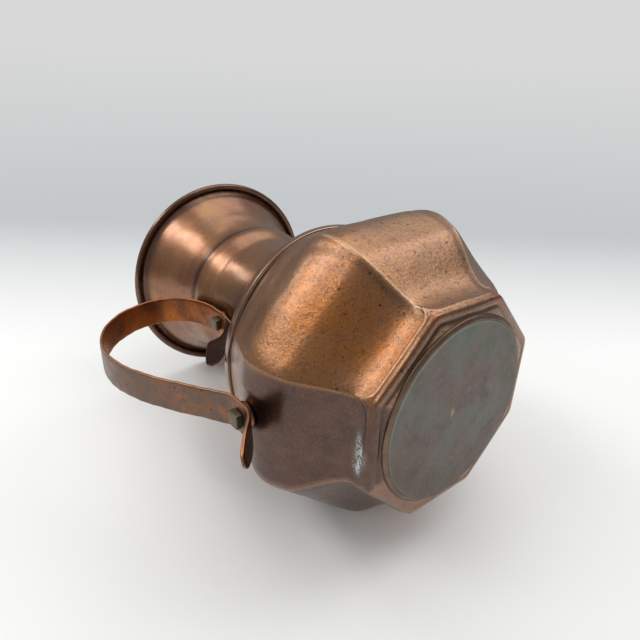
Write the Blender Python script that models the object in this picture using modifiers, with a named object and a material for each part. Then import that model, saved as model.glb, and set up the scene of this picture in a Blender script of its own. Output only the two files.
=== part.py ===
"""Octagonal copper water jug with a strap handle.

The jug stands upright: +Z runs from the base plate to the mouth, the origin is the middle of the
base plate's underside, and the handle is on the -X side. All sizes are in metres.
"""

import math

import bmesh
import bpy
from mathutils import Matrix, Vector

MM = 0.001

# Sheet and fits
SHEET = 1.0 * MM
GAP = 0.3 * MM
PANELS = 8

# Base plate
PLATE_RADIUS = 43.2 * MM
PLATE_THICKNESS = 1.0 * MM
SOLDER_WIDTH = 1.2 * MM
BASE_OPENING_RADIUS = 38.0 * MM

# Body, from the foot up: how much each stretch rises
FOOT_RISE = 1.8 * MM
FLARE_RISE = 10.2 * MM
BEND_RISE = 23.0 * MM
BELLY_RISE = 16.0 * MM
SHOULDER_RISE = 20.0 * MM
SEAM_RISE = 16.0 * MM
LAP = 4.0 * MM

# Body: distances from the axis to the middle of a flat panel, read from the foot and from the belly
FOOT_FLAT = PLATE_RADIUS + 7.6 * MM
FLARE_FLAT = FOOT_FLAT + 1.6 * MM
BELLY_FLAT = 76.3 * MM
BEND_FLAT = BELLY_FLAT - 4.8 * MM
SHOULDER_FLAT = BELLY_FLAT - 6.2 * MM
SEAM_RADIUS = BELLY_FLAT - 10.8 * MM

# Shoulder, neck and mouth, from the seam up
CONE_RISE = 15.0 * MM
NECK_FOOT_RISE = 16.0 * MM
NECK_RISE = 24.0 * MM
WAIST_RISE = 13.0 * MM
BULGE_RISE = 16.0 * MM
GROOVE_RISE = 7.0 * MM
MOUTH_RISE = 36.0 * MM
LIP_DEPTH = 5.0 * MM
NECK_RADIUS = 39.3 * MM
NECK_FOOT_RADIUS = NECK_RADIUS + 2.3 * MM
CONE_RADIUS = NECK_RADIUS + 14.0 * MM
WAIST_TOP_RADIUS = NECK_RADIUS + 0.8 * MM
BULGE_RADIUS = NECK_RADIUS + 6.1 * MM
GROOVE_RADIUS = NECK_RADIUS + 4.5 * MM
MOUTH_RADIUS = 66.1 * MM
LIP_WIDTH = 7.2 * MM
FLARE_CURVE = 0.38
WIRE_RADIUS = 0.8 * MM
ROLL_RADIUS = WIRE_RADIUS + GAP + SHEET + 0.1 * MM
ROLL_START = math.radians(125)
ROLL_TURN = math.radians(290)

# Heights and radii that follow from the values above
FOOT_HEIGHT = PLATE_THICKNESS + FOOT_RISE
FLARE_HEIGHT = FOOT_HEIGHT + FLARE_RISE
BEND_HEIGHT = FLARE_HEIGHT + BEND_RISE
BELLY_HEIGHT = BEND_HEIGHT + BELLY_RISE
SHOULDER_HEIGHT = BELLY_HEIGHT + SHOULDER_RISE
SEAM_HEIGHT = SHOULDER_HEIGHT + SEAM_RISE
CONE_HEIGHT = SEAM_HEIGHT + CONE_RISE
NECK_FOOT_HEIGHT = CONE_HEIGHT + NECK_FOOT_RISE
NECK_HEIGHT = NECK_FOOT_HEIGHT + NECK_RISE
WAIST_TOP_HEIGHT = NECK_HEIGHT + WAIST_RISE
BULGE_HEIGHT = WAIST_TOP_HEIGHT + BULGE_RISE
GROOVE_HEIGHT = BULGE_HEIGHT + GROOVE_RISE
FLARE_TOP_HEIGHT = GROOVE_HEIGHT + MOUTH_RISE
HEIGHT = FLARE_TOP_HEIGHT + LIP_DEPTH
FLARE_TOP_RADIUS = MOUTH_RADIUS - LIP_WIDTH

# Fasteners, the same at both ends of the strap
BOLT_RADIUS = 2.0 * MM
BOLT_HOLE_RADIUS = BOLT_RADIUS + 0.4 * MM
HEAD_ACROSS = 7.0 * MM
HEAD_HEIGHT = 3.0 * MM
NUT_ACROSS = 7.0 * MM
NUT_HEIGHT = 2.6 * MM
WASHER_RADIUS = 4.6 * MM
WASHER_THICKNESS = 0.8 * MM
SPACER_RADIUS = 6.4 * MM
SPACER_THICKNESS = 2.0 * MM
BOLT_END = 1.2 * MM
CUTTER_LENGTH = 40.0 * MM
UPPER_BOLT_HEIGHT = NECK_HEIGHT
LOWER_BOLT_HEIGHT = BELLY_HEIGHT

# Handle strap
STRAP_WIDTH = 15.8 * MM
STRAP_THICKNESS = 1.8 * MM
HANDLE_TOP = UPPER_BOLT_HEIGHT + 36.3 * MM
HANDLE_TOP_REACH = NECK_RADIUS + 28.7 * MM
HANDLE_REACH = BELLY_FLAT + 35.7 * MM
HANDLE_REACH_HEIGHT = UPPER_BOLT_HEIGHT - 16.0 * MM
SEAT_LENGTH = 8.0 * MM
TAIL_BEND = 5.0 * MM
LOWER_RUN_OUT = 3.8 * MM
LOWER_RUN_RISE = 8.5 * MM
LOWER_RUN_ANGLE = math.radians(31.0)
UPPER_TAIL_LENGTH = 53.0 * MM
LOWER_TAIL_LENGTH = 32.0 * MM
UPPER_TAIL_ANGLE = math.radians(38.0)
LOWER_TAIL_ANGLE = math.radians(38.0)
TAIL_TIP_WIDTH = 5.0 * MM
TAIL_TAPER = 0.62
TAIL_TWIST = math.radians(15.0)

# Fineness of the meshes
AROUND = 48
ROLL_STEPS = 9
WIRE_SIDES = 8
HOLE_SIDES = 24
SHARP_EDGE = math.radians(40)


def clear_scene():
    for thing in list(bpy.data.objects):
        bpy.data.objects.remove(thing, do_unlink=True)


def new_collection(name):
    collection = bpy.data.collections.new(name)
    bpy.context.scene.collection.children.link(collection)
    return collection


def metal(name, colour, roughness):
    material = bpy.data.materials.new(name)
    material.use_nodes = True
    shader = material.node_tree.nodes["Principled BSDF"]
    shader.inputs["Base Color"].default_value = (*colour, 1.0)
    shader.inputs["Metallic"].default_value = 1.0
    shader.inputs["Roughness"].default_value = roughness
    return material


def object_from(bm, name, collection, material):
    mesh = bpy.data.meshes.new(name)
    bmesh.ops.recalc_face_normals(bm, faces=bm.faces[:])
    bm.to_mesh(mesh)
    bm.free()
    mesh.shade_smooth()
    mesh.set_sharp_from_angle(angle=SHARP_EDGE)
    thing = bpy.data.objects.new(name, mesh)
    collection.objects.link(thing)
    if material:
        mesh.materials.append(material)
    return thing


def cubic(points, at):
    """Height-ordered (height, radius) points read with a monotone cubic, so the line never overshoots."""
    slopes = [(b[1] - a[1]) / (b[0] - a[0]) for a, b in zip(points, points[1:])]
    tangents = [slopes[0]]
    for before, after in zip(slopes, slopes[1:]):
        same_way = before * after > 0
        tangents.append(2 * before * after / (before + after) if same_way else 0.0)
    tangents.append(slopes[-1])
    index = max(i for i in range(len(slopes)) if i == 0 or at >= points[i][0])
    (x0, y0), (x1, y1) = points[index], points[index + 1]
    width = x1 - x0
    t = (at - x0) / width
    return (
        (2 * t**3 - 3 * t**2 + 1) * y0
        + (t**3 - 2 * t**2 + t) * width * tangents[index]
        + (3 * t**2 - 2 * t**3) * y1
        + (t**3 - t**2) * width * tangents[index + 1]
    )


def spread(low, high, count):
    return [low + (high - low) * i / (count - 1) for i in range(count)]


# The body's panel line, read up the middle of a panel
PANEL_LINE = (
    (FOOT_HEIGHT, FOOT_FLAT),
    (FLARE_HEIGHT, FLARE_FLAT),
    (BEND_HEIGHT, BEND_FLAT),
    (BELLY_HEIGHT, BELLY_FLAT),
    (SHOULDER_HEIGHT, SHOULDER_FLAT),
    (SEAM_HEIGHT, SEAM_RADIUS),
)
# How crisp the creases between the panels are: high is a sharp octagon, 6 is round
CREASE_LINE = (
    (FOOT_HEIGHT, 70.0),
    (BEND_HEIGHT, 60.0),
    (BELLY_HEIGHT, 30.0),
    (SHOULDER_HEIGHT, 24.0),
    (SEAM_HEIGHT, 6.0),
)
SEAM_SLOPE = (SEAM_RADIUS - SHOULDER_FLAT) / (SEAM_HEIGHT - SHOULDER_HEIGHT)


def power_mean(angle, crispness):
    total = 0.0
    for side in range(PANELS):
        towards = math.cos(angle - side * math.tau / PANELS)
        if towards > 0:
            total += towards**crispness
    return total ** (-1 / crispness)


def body_radius(angle, height):
    """Eight-sided section whose corners are rounded by a power mean of its side planes."""
    above = min(height, SEAM_HEIGHT)
    flat = cubic(PANEL_LINE, above) + SEAM_SLOPE * max(0.0, height - SEAM_HEIGHT)
    crispness = cubic(CREASE_LINE, above)
    return flat * power_mean(angle, crispness) / power_mean(0.0, crispness)


def widest_radius(height):
    """The larger of the distances to a crease and to the middle of a panel."""
    return max(body_radius(0.0, height), body_radius(math.pi / PANELS, height))


def ring(bm, height_and_radius):
    made = []
    for i in range(AROUND):
        angle = math.tau * i / AROUND
        height, radius = height_and_radius(angle)
        made.append(bm.verts.new((radius * math.cos(angle), radius * math.sin(angle), height)))
    return made


def bridge(bm, lower, upper):
    for i in range(len(lower)):
        j = (i + 1) % len(lower)
        bm.faces.new((lower[i], lower[j], upper[j], upper[i]))


def solidify(thing, thickness, offset=-1.0):
    modifier = thing.modifiers.new("sheet", "SOLIDIFY")
    modifier.thickness = thickness
    modifier.offset = offset
    modifier.use_even_offset = True


def cut(thing, cutter):
    modifier = thing.modifiers.new("hole", "BOOLEAN")
    modifier.operation = "DIFFERENCE"
    modifier.solver = "EXACT"
    modifier.object = cutter


def make_body(collection, material):
    """Eight-panelled bowl: a turned-in bottom, sloping panels, a rounded belly and a round top edge."""
    bm = bmesh.new()
    seat = PLATE_THICKNESS + GAP

    def flange(share):
        def at(angle):
            corner = body_radius(angle, FOOT_HEIGHT)
            radius = BASE_OPENING_RADIUS + (corner - BASE_OPENING_RADIUS) * share
            plate_share = (PLATE_RADIUS - BASE_OPENING_RADIUS) / (corner - BASE_OPENING_RADIUS)
            rise = max(0.0, (share - plate_share) / (1 - plate_share))
            return seat + (FOOT_HEIGHT - seat) * rise, radius

        return at

    rings = [ring(bm, flange(share)) for share in spread(0.0, 1.0, 4)]
    heights = (
        spread(FOOT_HEIGHT, FLARE_HEIGHT, 4)[1:]
        + spread(FLARE_HEIGHT, BEND_HEIGHT, 5)[1:]
        + spread(BEND_HEIGHT, BELLY_HEIGHT, 4)[1:]
        + spread(BELLY_HEIGHT, SEAM_HEIGHT, 7)[1:]
        + [SEAM_HEIGHT + LAP]
    )
    for height in heights:
        rings.append(ring(bm, lambda angle, z=height: (z, body_radius(angle, z))))
    for lower, upper in zip(rings, rings[1:]):
        bridge(bm, lower, upper)
    body = object_from(bm, "body_shell", collection, material)
    solidify(body, SHEET)
    return body


def disc(bm, radius, low, high, around):
    place = Matrix.Translation((0, 0, (low + high) / 2))
    bmesh.ops.create_cone(
        bm,
        cap_ends=True,
        segments=around,
        radius1=radius,
        radius2=radius,
        depth=high - low,
        matrix=place,
    )


def make_base_plate(collection, material):
    """Round plate closing the bottom; its edge is eased and its underside is the flat the jug stands on."""
    bm = bmesh.new()
    disc(bm, PLATE_RADIUS, 0.0, PLATE_THICKNESS, AROUND)
    plate = object_from(bm, "base_plate", collection, material)
    bevel = plate.modifiers.new("eased_edge", "BEVEL")
    bevel.width = 0.25 * PLATE_THICKNESS
    bevel.segments = 2
    bevel.limit_method = "ANGLE"
    return plate


def turned(name, profile, collection, material, closed):
    """A profile of (height, radius) points turned round the axis. It runs down the outer side first."""
    mesh = bpy.data.meshes.new(name)
    points = [(radius, 0.0, height) for height, radius in profile]
    count = len(points)
    edges = [(i, (i + 1) % count) for i in range(count if closed else count - 1)]
    mesh.from_pydata(points, edges, [])
    thing = bpy.data.objects.new(name, mesh)
    collection.objects.link(thing)
    screw = thing.modifiers.new("turned", "SCREW")
    screw.steps = AROUND
    screw.render_steps = AROUND
    screw.use_merge_vertices = True
    screw.merge_threshold = 0.00001
    screw.use_smooth_shade = True
    if material:
        mesh.materials.append(material)
    return thing


def make_base_solder(collection, material):
    """Fillet of solder that runs round the base plate's edge, in the corner under the body's bottom."""
    inner = PLATE_RADIUS + GAP
    outer = inner + SOLDER_WIDTH
    low = 0.4 * PLATE_THICKNESS
    profile = (
        (PLATE_THICKNESS, inner),
        (PLATE_THICKNESS, outer),
        (low, inner),
    )
    return turned("base_solder_seam", profile, collection, material, True)


def lap_radius(height):
    """Outer radius of the collar where it laps over the body's sloping top edge."""
    return body_radius(0.0, height) + (GAP + SHEET) * math.hypot(1, SEAM_SLOPE)


def neck_line():
    lap_top = SEAM_HEIGHT + LAP + 2 * SHEET
    flare = FLARE_TOP_RADIUS - GROOVE_RADIUS
    return (
        (lap_top, lap_radius(lap_top)),
        (CONE_HEIGHT, CONE_RADIUS),
        (NECK_FOOT_HEIGHT, NECK_FOOT_RADIUS),
        (NECK_HEIGHT, NECK_RADIUS),
        (WAIST_TOP_HEIGHT, WAIST_TOP_RADIUS),
        (BULGE_HEIGHT, BULGE_RADIUS),
        (GROOVE_HEIGHT, GROOVE_RADIUS),
        ((GROOVE_HEIGHT + FLARE_TOP_HEIGHT) / 2, GROOVE_RADIUS + FLARE_CURVE * flare),
        (FLARE_TOP_HEIGHT, FLARE_TOP_RADIUS),
    )


def collar_profile():
    """Outer face of the spun sheet, from the end of the rolled lip over the mouth and down to the lap."""
    roll_radius = MOUTH_RADIUS - ROLL_RADIUS
    roll_height = HEIGHT - ROLL_RADIUS
    inside = ROLL_RADIUS - SHEET
    roll = []
    for i in range(ROLL_STEPS + 1):
        turn = ROLL_START - i * ROLL_TURN / ROLL_STEPS
        roll.append((roll_height + inside * math.sin(turn), roll_radius + inside * math.cos(turn)))
    line = neck_line()
    heights = (
        spread(line[0][0], line[1][0], 4)
        + spread(line[1][0], line[2][0], 4)[1:]
        + spread(line[2][0], line[3][0], 3)[1:]
        + spread(line[3][0], line[4][0], 3)[1:]
        + spread(line[4][0], line[5][0], 5)[1:]
        + spread(line[5][0], line[6][0], 4)[1:]
        + spread(line[6][0], line[8][0], 6)[1:]
    )
    neck = [(height, cubic(line, height)) for height in heights]
    lap_edge = (SEAM_HEIGHT, lap_radius(SEAM_HEIGHT))
    upwards = [lap_edge] + neck
    return list(reversed(roll)) + list(reversed(upwards))


def make_collar(collection, material):
    """Shoulder, neck, flared mouth and rolled lip in one spun sheet. It laps over the body's top edge."""
    collar = turned("neck_collar", collar_profile(), collection, material, False)
    solidify(collar, SHEET)
    return collar


def make_rim_wire(collection, material):
    """Round wire that the mouth's edge is rolled over."""
    bm = bmesh.new()
    centre = MOUTH_RADIUS - ROLL_RADIUS
    rings = []
    for i in range(WIRE_SIDES):
        turn = math.tau * i / WIRE_SIDES
        height = HEIGHT - ROLL_RADIUS + WIRE_RADIUS * math.sin(turn)
        radius = centre + WIRE_RADIUS * math.cos(turn)
        rings.append(ring(bm, lambda angle, z=height, r=radius: (z, r)))
    for lower, upper in zip(rings, rings[1:] + rings[:1]):
        bridge(bm, lower, upper)
    return object_from(bm, "rim_wire", collection, material)


def seam_solder_profile():
    """Small fillet in the step between the lap's edge and the body."""
    reach = SHEET * 0.9
    high = SEAM_HEIGHT - GAP - SHEET * abs(SEAM_SLOPE)
    low = high - reach
    clear = GAP * math.hypot(1, SEAM_SLOPE)
    return (
        (high, widest_radius(high) + clear + reach),
        (low, widest_radius(low) + clear),
        (high, widest_radius(high) + clear),
    )


def make_seam_solder(collection, material):
    return turned("shoulder_solder_seam", seam_solder_profile(), collection, material, True)


def bezier(p0, p1, p2, p3, count):
    made = []
    for i in range(count):
        t = i / count
        s = 1 - t
        made.append(p0 * s**3 + p1 * 3 * s * s * t + p2 * 3 * s * t * t + p3 * t**3)
    return made


def seat_reach(wall):
    """Distance from the axis to the middle of the strap where it is bolted down on its spacer."""
    return wall + GAP + SPACER_THICKNESS + GAP + STRAP_THICKNESS / 2


def tail_end(seat_end, angle, length):
    """Where a tail has turned away from its seat, and its tip."""
    away = Vector((math.sin(angle), -math.cos(angle)))
    turned_away = seat_end + Vector((0, -TAIL_BEND)) + away * TAIL_BEND
    straight = length - SEAT_LENGTH / 2 - 2 * TAIL_BEND
    return away, turned_away, turned_away + away * straight


def strap_path():
    """(reach, height) points from the upper tail's tip, over the top and down to the lower tail's tip."""
    half = SEAT_LENGTH / 2
    up, down = Vector((0, 1)), Vector((0, -1))
    upper = Vector((seat_reach(NECK_RADIUS), UPPER_BOLT_HEIGHT))
    lower = Vector((seat_reach(BELLY_FLAT), LOWER_BOLT_HEIGHT))
    upper_away, upper_turn, upper_tip = tail_end(upper + down * half, UPPER_TAIL_ANGLE, UPPER_TAIL_LENGTH)
    lower_away, lower_turn, lower_tip = tail_end(lower + down * half, LOWER_TAIL_ANGLE, LOWER_TAIL_LENGTH)
    soft = TAIL_BEND / 2
    points = [upper_tip.lerp(upper_turn, i / 6) for i in range(6)]
    points += bezier(
        upper_turn, upper_turn - upper_away * soft, upper + down * (half + soft), upper + down * half, 4
    )
    points += [upper + down * half, upper]

    top = Vector((HANDLE_TOP_REACH, HANDLE_TOP))
    out = Vector((HANDLE_REACH, HANDLE_REACH_HEIGHT))
    seat_top = upper + up * half
    rise = top.y - seat_top.y
    points += bezier(seat_top, seat_top + up * rise / 2, top - Vector((rise * 0.55, 0)), top, 8)
    across = Vector((out.x - top.x, 0))
    drop = Vector((0, top.y - out.y))
    points += bezier(top, top + across * 0.5, out + drop * 0.55, out, 9)

    run_end = lower + Vector((LOWER_RUN_OUT, half + LOWER_RUN_RISE))
    run_way = Vector((math.sin(LOWER_RUN_ANGLE), math.cos(LOWER_RUN_ANGLE)))
    fall = out.y - run_end.y
    points += bezier(out, out + down * fall * 0.42, run_end + run_way * fall * 0.25, run_end, 8)
    seat_top = lower + up * half
    run_soft = LOWER_RUN_RISE / 2
    points += bezier(run_end, run_end - run_way * run_soft, seat_top + up * run_soft, seat_top, 4)
    points += [seat_top, lower]
    points += bezier(
        lower + down * half, lower + down * (half + soft), lower_turn - lower_away * soft, lower_turn, 4
    )
    points += [lower_turn.lerp(lower_tip, i / 4) for i in range(5)]
    return points


def tail_width(from_tip, length):
    """Leaf-shaped end: a blunt tip that widens to the strap within the tail."""
    share = min(1.0, from_tip / (TAIL_TAPER * length))
    return TAIL_TIP_WIDTH + (STRAP_WIDTH - TAIL_TIP_WIDTH) * math.sin(share * math.pi / 2) ** 0.9


def make_strap(collection, material):
    """Flat copper strap: each end is bolted down on a spacer and flicks outwards as a tapered tail."""
    path = strap_path()
    lengths = [0.0]
    for a, b in zip(path, path[1:]):
        lengths.append(lengths[-1] + (b - a).length)
    whole = lengths[-1]
    bm = bmesh.new()
    rows = []
    for i, point in enumerate(path):
        ahead = (path[min(i + 1, len(path) - 1)] - path[max(i - 1, 0)]).normalized()
        along = Vector((-ahead.x, 0, ahead.y))
        side = Vector((0, 1, 0))
        from_start, from_end = lengths[i], whole - lengths[i]
        width = min(tail_width(from_start, UPPER_TAIL_LENGTH), tail_width(from_end, LOWER_TAIL_LENGTH))
        loose = max(0.0, 1 - from_end / (LOWER_TAIL_LENGTH - SEAT_LENGTH))
        side = Matrix.Rotation(TAIL_TWIST * loose, 3, along) @ side
        middle = Vector((-point.x, 0, point.y))
        rows.append([bm.verts.new(middle + side * width * share) for share in (-0.5, -0.25, 0, 0.25, 0.5)])
    for lower, upper in zip(rows, rows[1:]):
        for j in range(4):
            bm.faces.new((lower[j], lower[j + 1], upper[j + 1], upper[j]))
    strap = object_from(bm, "handle_strap", collection, material)
    solidify(strap, STRAP_THICKNESS, 0.0)
    return strap


def along_x(thing, reach, height):
    """Lays a piece built along +Z on its side, so that its +Z points out of the jug along -X."""
    thing.matrix_world = Matrix.Translation((-reach, 0, height)) @ Matrix.Rotation(-math.pi / 2, 4, "Y")


def make_bolt(name, head_reach, inner_end, height, collection, material, helpers):
    """Square-headed bolt. Its own +Z points outwards and its origin is the underside of the head."""
    bm = bmesh.new()
    bmesh.ops.create_cube(
        bm,
        size=1.0,
        matrix=Matrix.Translation((0, 0, HEAD_HEIGHT / 2))
        @ Matrix.Diagonal((HEAD_ACROSS, HEAD_ACROSS, HEAD_HEIGHT, 1)),
    )
    bolt = object_from(bm, name, collection, material)
    bevel = bolt.modifiers.new("worn_corners", "BEVEL")
    bevel.width = HEAD_ACROSS / 14
    bevel.segments = 2
    bm = bmesh.new()
    disc(bm, BOLT_RADIUS, inner_end - head_reach, HEAD_HEIGHT / 2, HOLE_SIDES)
    shank = object_from(bm, name + "_shank", helpers, None)
    shank.hide_render = True
    shank.display_type = "WIRE"
    union = bolt.modifiers.new("shank", "BOOLEAN")
    union.operation = "UNION"
    union.solver = "EXACT"
    union.object = shank
    along_x(bolt, head_reach, height)
    along_x(shank, head_reach, height)
    return bolt


def hole_cutter(name, reach, height, helpers):
    bm = bmesh.new()
    disc(bm, BOLT_HOLE_RADIUS, -CUTTER_LENGTH / 2, CUTTER_LENGTH / 2, HOLE_SIDES)
    cutter = object_from(bm, name, helpers, None)
    cutter.hide_render = True
    cutter.display_type = "WIRE"
    along_x(cutter, reach, height)
    return cutter


def make_ringed(name, radius, sides, thickness, reach, height, collection, material, cutter):
    """A washer, a spacer or a nut: a short prism with a bore, its outer face at the given reach."""
    bm = bmesh.new()
    disc(bm, radius, -thickness, 0.0, sides)
    piece = object_from(bm, name, collection, material)
    along_x(piece, reach, height)
    if sides == 4:
        piece.matrix_world = piece.matrix_world @ Matrix.Rotation(math.pi / 4, 4, "Z")
    cut(piece, cutter)
    return piece


def fasten(which, height, outer_wall, inner_wall, pieces, helpers, materials, cut_through):
    """Spacer, bolt, inner washer and inner nut at one end of the strap, and the holes for the bolt."""
    spacer_reach = outer_wall + GAP + SPACER_THICKNESS
    head_reach = spacer_reach + GAP + STRAP_THICKNESS + GAP
    washer_reach = inner_wall - GAP
    nut_reach = washer_reach - WASHER_THICKNESS - GAP
    inner_end = nut_reach - NUT_HEIGHT - BOLT_END
    hole = hole_cutter(which + "_hole", outer_wall, height, helpers)
    for thing in cut_through:
        cut(thing, hole)
    make_ringed(
        which + "_spacer", SPACER_RADIUS, 32, SPACER_THICKNESS,
        spacer_reach, height, pieces, materials["washer"], hole,
    )
    make_ringed(
        which + "_washer", WASHER_RADIUS, 32, WASHER_THICKNESS,
        washer_reach, height, pieces, materials["washer"], hole,
    )
    make_ringed(
        which + "_nut", NUT_ACROSS / math.sqrt(2), 4, NUT_HEIGHT,
        nut_reach, height, pieces, materials["nut"], hole,
    )
    make_bolt(which + "_bolt", head_reach, inner_end, height, pieces, materials["bolt"], helpers)


def chord_reach(radius, half_width):
    """How far out a flat piece of this half width can sit inside a round wall."""
    return math.sqrt(radius**2 - half_width**2)


def main():
    clear_scene()
    pieces = new_collection("copper_water_jug")
    helpers = new_collection("jug_cutters")
    copper = metal("aged_copper", (0.36, 0.16, 0.085), 0.38)
    plate_copper = metal("dull_base_copper", (0.16, 0.14, 0.12), 0.55)
    neck_copper = metal("spun_neck_copper", (0.42, 0.22, 0.10), 0.30)
    strap_copper = metal("strap_copper", (0.42, 0.17, 0.07), 0.36)
    solder = metal("tin_solder", (0.52, 0.45, 0.38), 0.40)
    wire = metal("rim_wire_copper", (0.36, 0.18, 0.10), 0.40)
    fastener = {
        "bolt": metal("dull_brass_bolt", (0.22, 0.19, 0.11), 0.45),
        "nut": metal("dull_brass_nut", (0.26, 0.22, 0.12), 0.45),
        "washer": metal("copper_washer", (0.40, 0.19, 0.10), 0.40),
    }
    body = make_body(pieces, copper)
    make_base_plate(pieces, plate_copper)
    make_base_solder(pieces, solder)
    collar = make_collar(pieces, neck_copper)
    make_seam_solder(pieces, solder)
    make_rim_wire(pieces, wire)
    strap = make_strap(pieces, strap_copper)
    fasten(
        "upper", UPPER_BOLT_HEIGHT, NECK_RADIUS, chord_reach(NECK_RADIUS - SHEET, WASHER_RADIUS),
        pieces, helpers, fastener, (collar, strap),
    )
    washer_edges = (LOWER_BOLT_HEIGHT - WASHER_RADIUS, LOWER_BOLT_HEIGHT + WASHER_RADIUS)
    belly_inside = min(body_radius(0.0, height) for height in washer_edges) - SHEET * math.hypot(1, 0.5)
    fasten(
        "lower", LOWER_BOLT_HEIGHT, body_radius(0.0, LOWER_BOLT_HEIGHT), belly_inside,
        pieces, helpers, fastener, (body, strap),
    )


main()
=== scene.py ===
"""Eight-sided copper water jug with a bolted strap handle: its fine surfaces, finishes and stage.

Everything is in metres in the part's own frame: +Z runs from the base plate to the mouth and the
handle is on the -X side.
"""

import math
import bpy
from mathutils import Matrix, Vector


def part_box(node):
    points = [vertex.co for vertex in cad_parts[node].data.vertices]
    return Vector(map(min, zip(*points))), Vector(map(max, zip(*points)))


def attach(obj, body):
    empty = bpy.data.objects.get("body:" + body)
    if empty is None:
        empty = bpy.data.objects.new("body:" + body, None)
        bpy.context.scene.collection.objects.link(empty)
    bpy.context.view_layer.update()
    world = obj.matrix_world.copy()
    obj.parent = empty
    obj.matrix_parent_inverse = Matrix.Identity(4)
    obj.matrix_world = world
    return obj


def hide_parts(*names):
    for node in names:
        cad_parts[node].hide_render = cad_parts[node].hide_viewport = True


bl_info = {
    "name": "Copper Water Jug",
    "version": (1, 0, 0),
    "blender": (4, 5, 0),
    "location": "View3D > Sidebar > Jug",
    "description": "Builds the hammered body, spun neck, strap handle and finishes of a copper water jug",
    "category": "Add Mesh",
}

import bmesh
import bpy
import numpy as np
from mathutils import Euler, Matrix, Vector

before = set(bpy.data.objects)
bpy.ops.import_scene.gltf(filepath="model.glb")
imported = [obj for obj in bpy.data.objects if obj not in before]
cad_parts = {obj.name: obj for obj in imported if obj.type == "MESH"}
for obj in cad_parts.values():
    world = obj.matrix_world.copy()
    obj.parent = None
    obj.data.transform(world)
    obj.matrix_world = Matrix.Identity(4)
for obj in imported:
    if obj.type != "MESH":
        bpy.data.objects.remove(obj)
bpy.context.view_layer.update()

MM = 0.001
BODY = "root"

# Places read from the frame
BODY_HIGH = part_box("body_shell")[1]
COLLAR_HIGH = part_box("neck_collar")[1]
PLATE_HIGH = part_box("base_plate")[1]
WIRE_LOW, WIRE_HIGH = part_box("rim_wire")
SHOULDER_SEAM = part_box("shoulder_solder_seam")
UPPER_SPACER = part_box("upper_spacer")
LOWER_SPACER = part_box("lower_spacer")
UPPER_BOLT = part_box("upper_bolt")
LOWER_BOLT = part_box("lower_bolt")

PANELS = 8
HALF_PANEL = math.pi / PANELS
FRONT = math.radians(225)  # middle of the panel with the golden patina
HANDLE_SIDE = math.pi
UNDER_SIDE = math.radians(135)  # middle of the panel that lies towards the floor
SHEET = 1.0 * MM
GAP = 0.3 * MM

# Body, as in the design: heights and the distances to the middle of a panel
PLATE_RADIUS = PLATE_HIGH.x
PLATE_THICKNESS = PLATE_HIGH.z
BELLY_FLAT = BODY_HIGH.y
OPENING_RADIUS = 38.0 * MM
FOOT_HEIGHT = PLATE_THICKNESS + 1.8 * MM
FOOT_FLAT = PLATE_RADIUS + 7.6 * MM
FLARE_HEIGHT = FOOT_HEIGHT + 10.2 * MM
FLARE_FLAT = FOOT_FLAT + 1.6 * MM
BEND_HEIGHT = FLARE_HEIGHT + 23.0 * MM
BEND_FLAT = BELLY_FLAT - 4.8 * MM
BELLY_HEIGHT = (LOWER_BOLT[0].z + LOWER_BOLT[1].z) / 2
SHOULDER_HEIGHT = BELLY_HEIGHT + 20.0 * MM
SHOULDER_FLAT = BELLY_FLAT - 6.2 * MM
SEAM_HEIGHT = SHOULDER_HEIGHT + 16.0 * MM
SEAM_RADIUS = BELLY_FLAT - 10.8 * MM
LAP = 4.0 * MM
SEAM_SLOPE = (SEAM_RADIUS - SHOULDER_FLAT) / (SEAM_HEIGHT - SHOULDER_HEIGHT)

# Collar, as in the design
NECK_HEIGHT = (UPPER_BOLT[0].z + UPPER_BOLT[1].z) / 2
NECK_RADIUS = -UPPER_SPACER[1].x - GAP
CONE_HEIGHT = SEAM_HEIGHT + 15.0 * MM
CONE_RADIUS = NECK_RADIUS + 14.0 * MM
NECK_FOOT_HEIGHT = CONE_HEIGHT + 16.0 * MM
NECK_FOOT_RADIUS = NECK_RADIUS + 2.3 * MM
WAIST_HEIGHT = NECK_HEIGHT + 13.0 * MM
WAIST_RADIUS = NECK_RADIUS + 0.8 * MM
BULGE_HEIGHT = NECK_HEIGHT + 29.0 * MM
BULGE_RADIUS = NECK_RADIUS + 6.1 * MM
GROOVE_HEIGHT = NECK_HEIGHT + 36.0 * MM
GROOVE_RADIUS = NECK_RADIUS + 4.5 * MM
FLARE_TOP_HEIGHT = COLLAR_HIGH.z - 5.0 * MM
MOUTH_RADIUS = COLLAR_HIGH.x
FLARE_TOP_RADIUS = MOUTH_RADIUS - 7.2 * MM
WIRE_RADIUS = (WIRE_HIGH.z - WIRE_LOW.z) / 2
ROLL_RADIUS = WIRE_RADIUS + GAP + SHEET + 0.1 * MM
ROLL_MIDDLE = (MOUTH_RADIUS - ROLL_RADIUS, COLLAR_HIGH.z - ROLL_RADIUS)
FLOOR_GAP = 1.1 * MM  # the dents and the twist stand this far past the plain panels

# Strap, as in the design
STRAP_THICKNESS = 1.8 * MM
SEAT_LENGTH = 8.0 * MM
TAIL_BEND = 5.0 * MM
UPPER_TAIL_LENGTH = 53.0 * MM
LOWER_TAIL_LENGTH = 32.0 * MM
TAIL_TIP_WIDTH = 5.0 * MM
TAIL_ANGLE = math.radians(38.0)
UPPER_TAIL_TURN = math.radians(75.0)
LOWER_TAIL_TURN = math.radians(15.0)
HANDLE_TOP = (NECK_RADIUS + 28.7 * MM, NECK_HEIGHT + 36.3 * MM)
HANDLE_OUTERMOST = (BELLY_FLAT + 35.7 * MM, NECK_HEIGHT - 16 * MM)
LOWER_RUN = (3.8 * MM, 8.5 * MM)
LOWER_RUN_ANGLE = math.radians(31.0)

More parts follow.
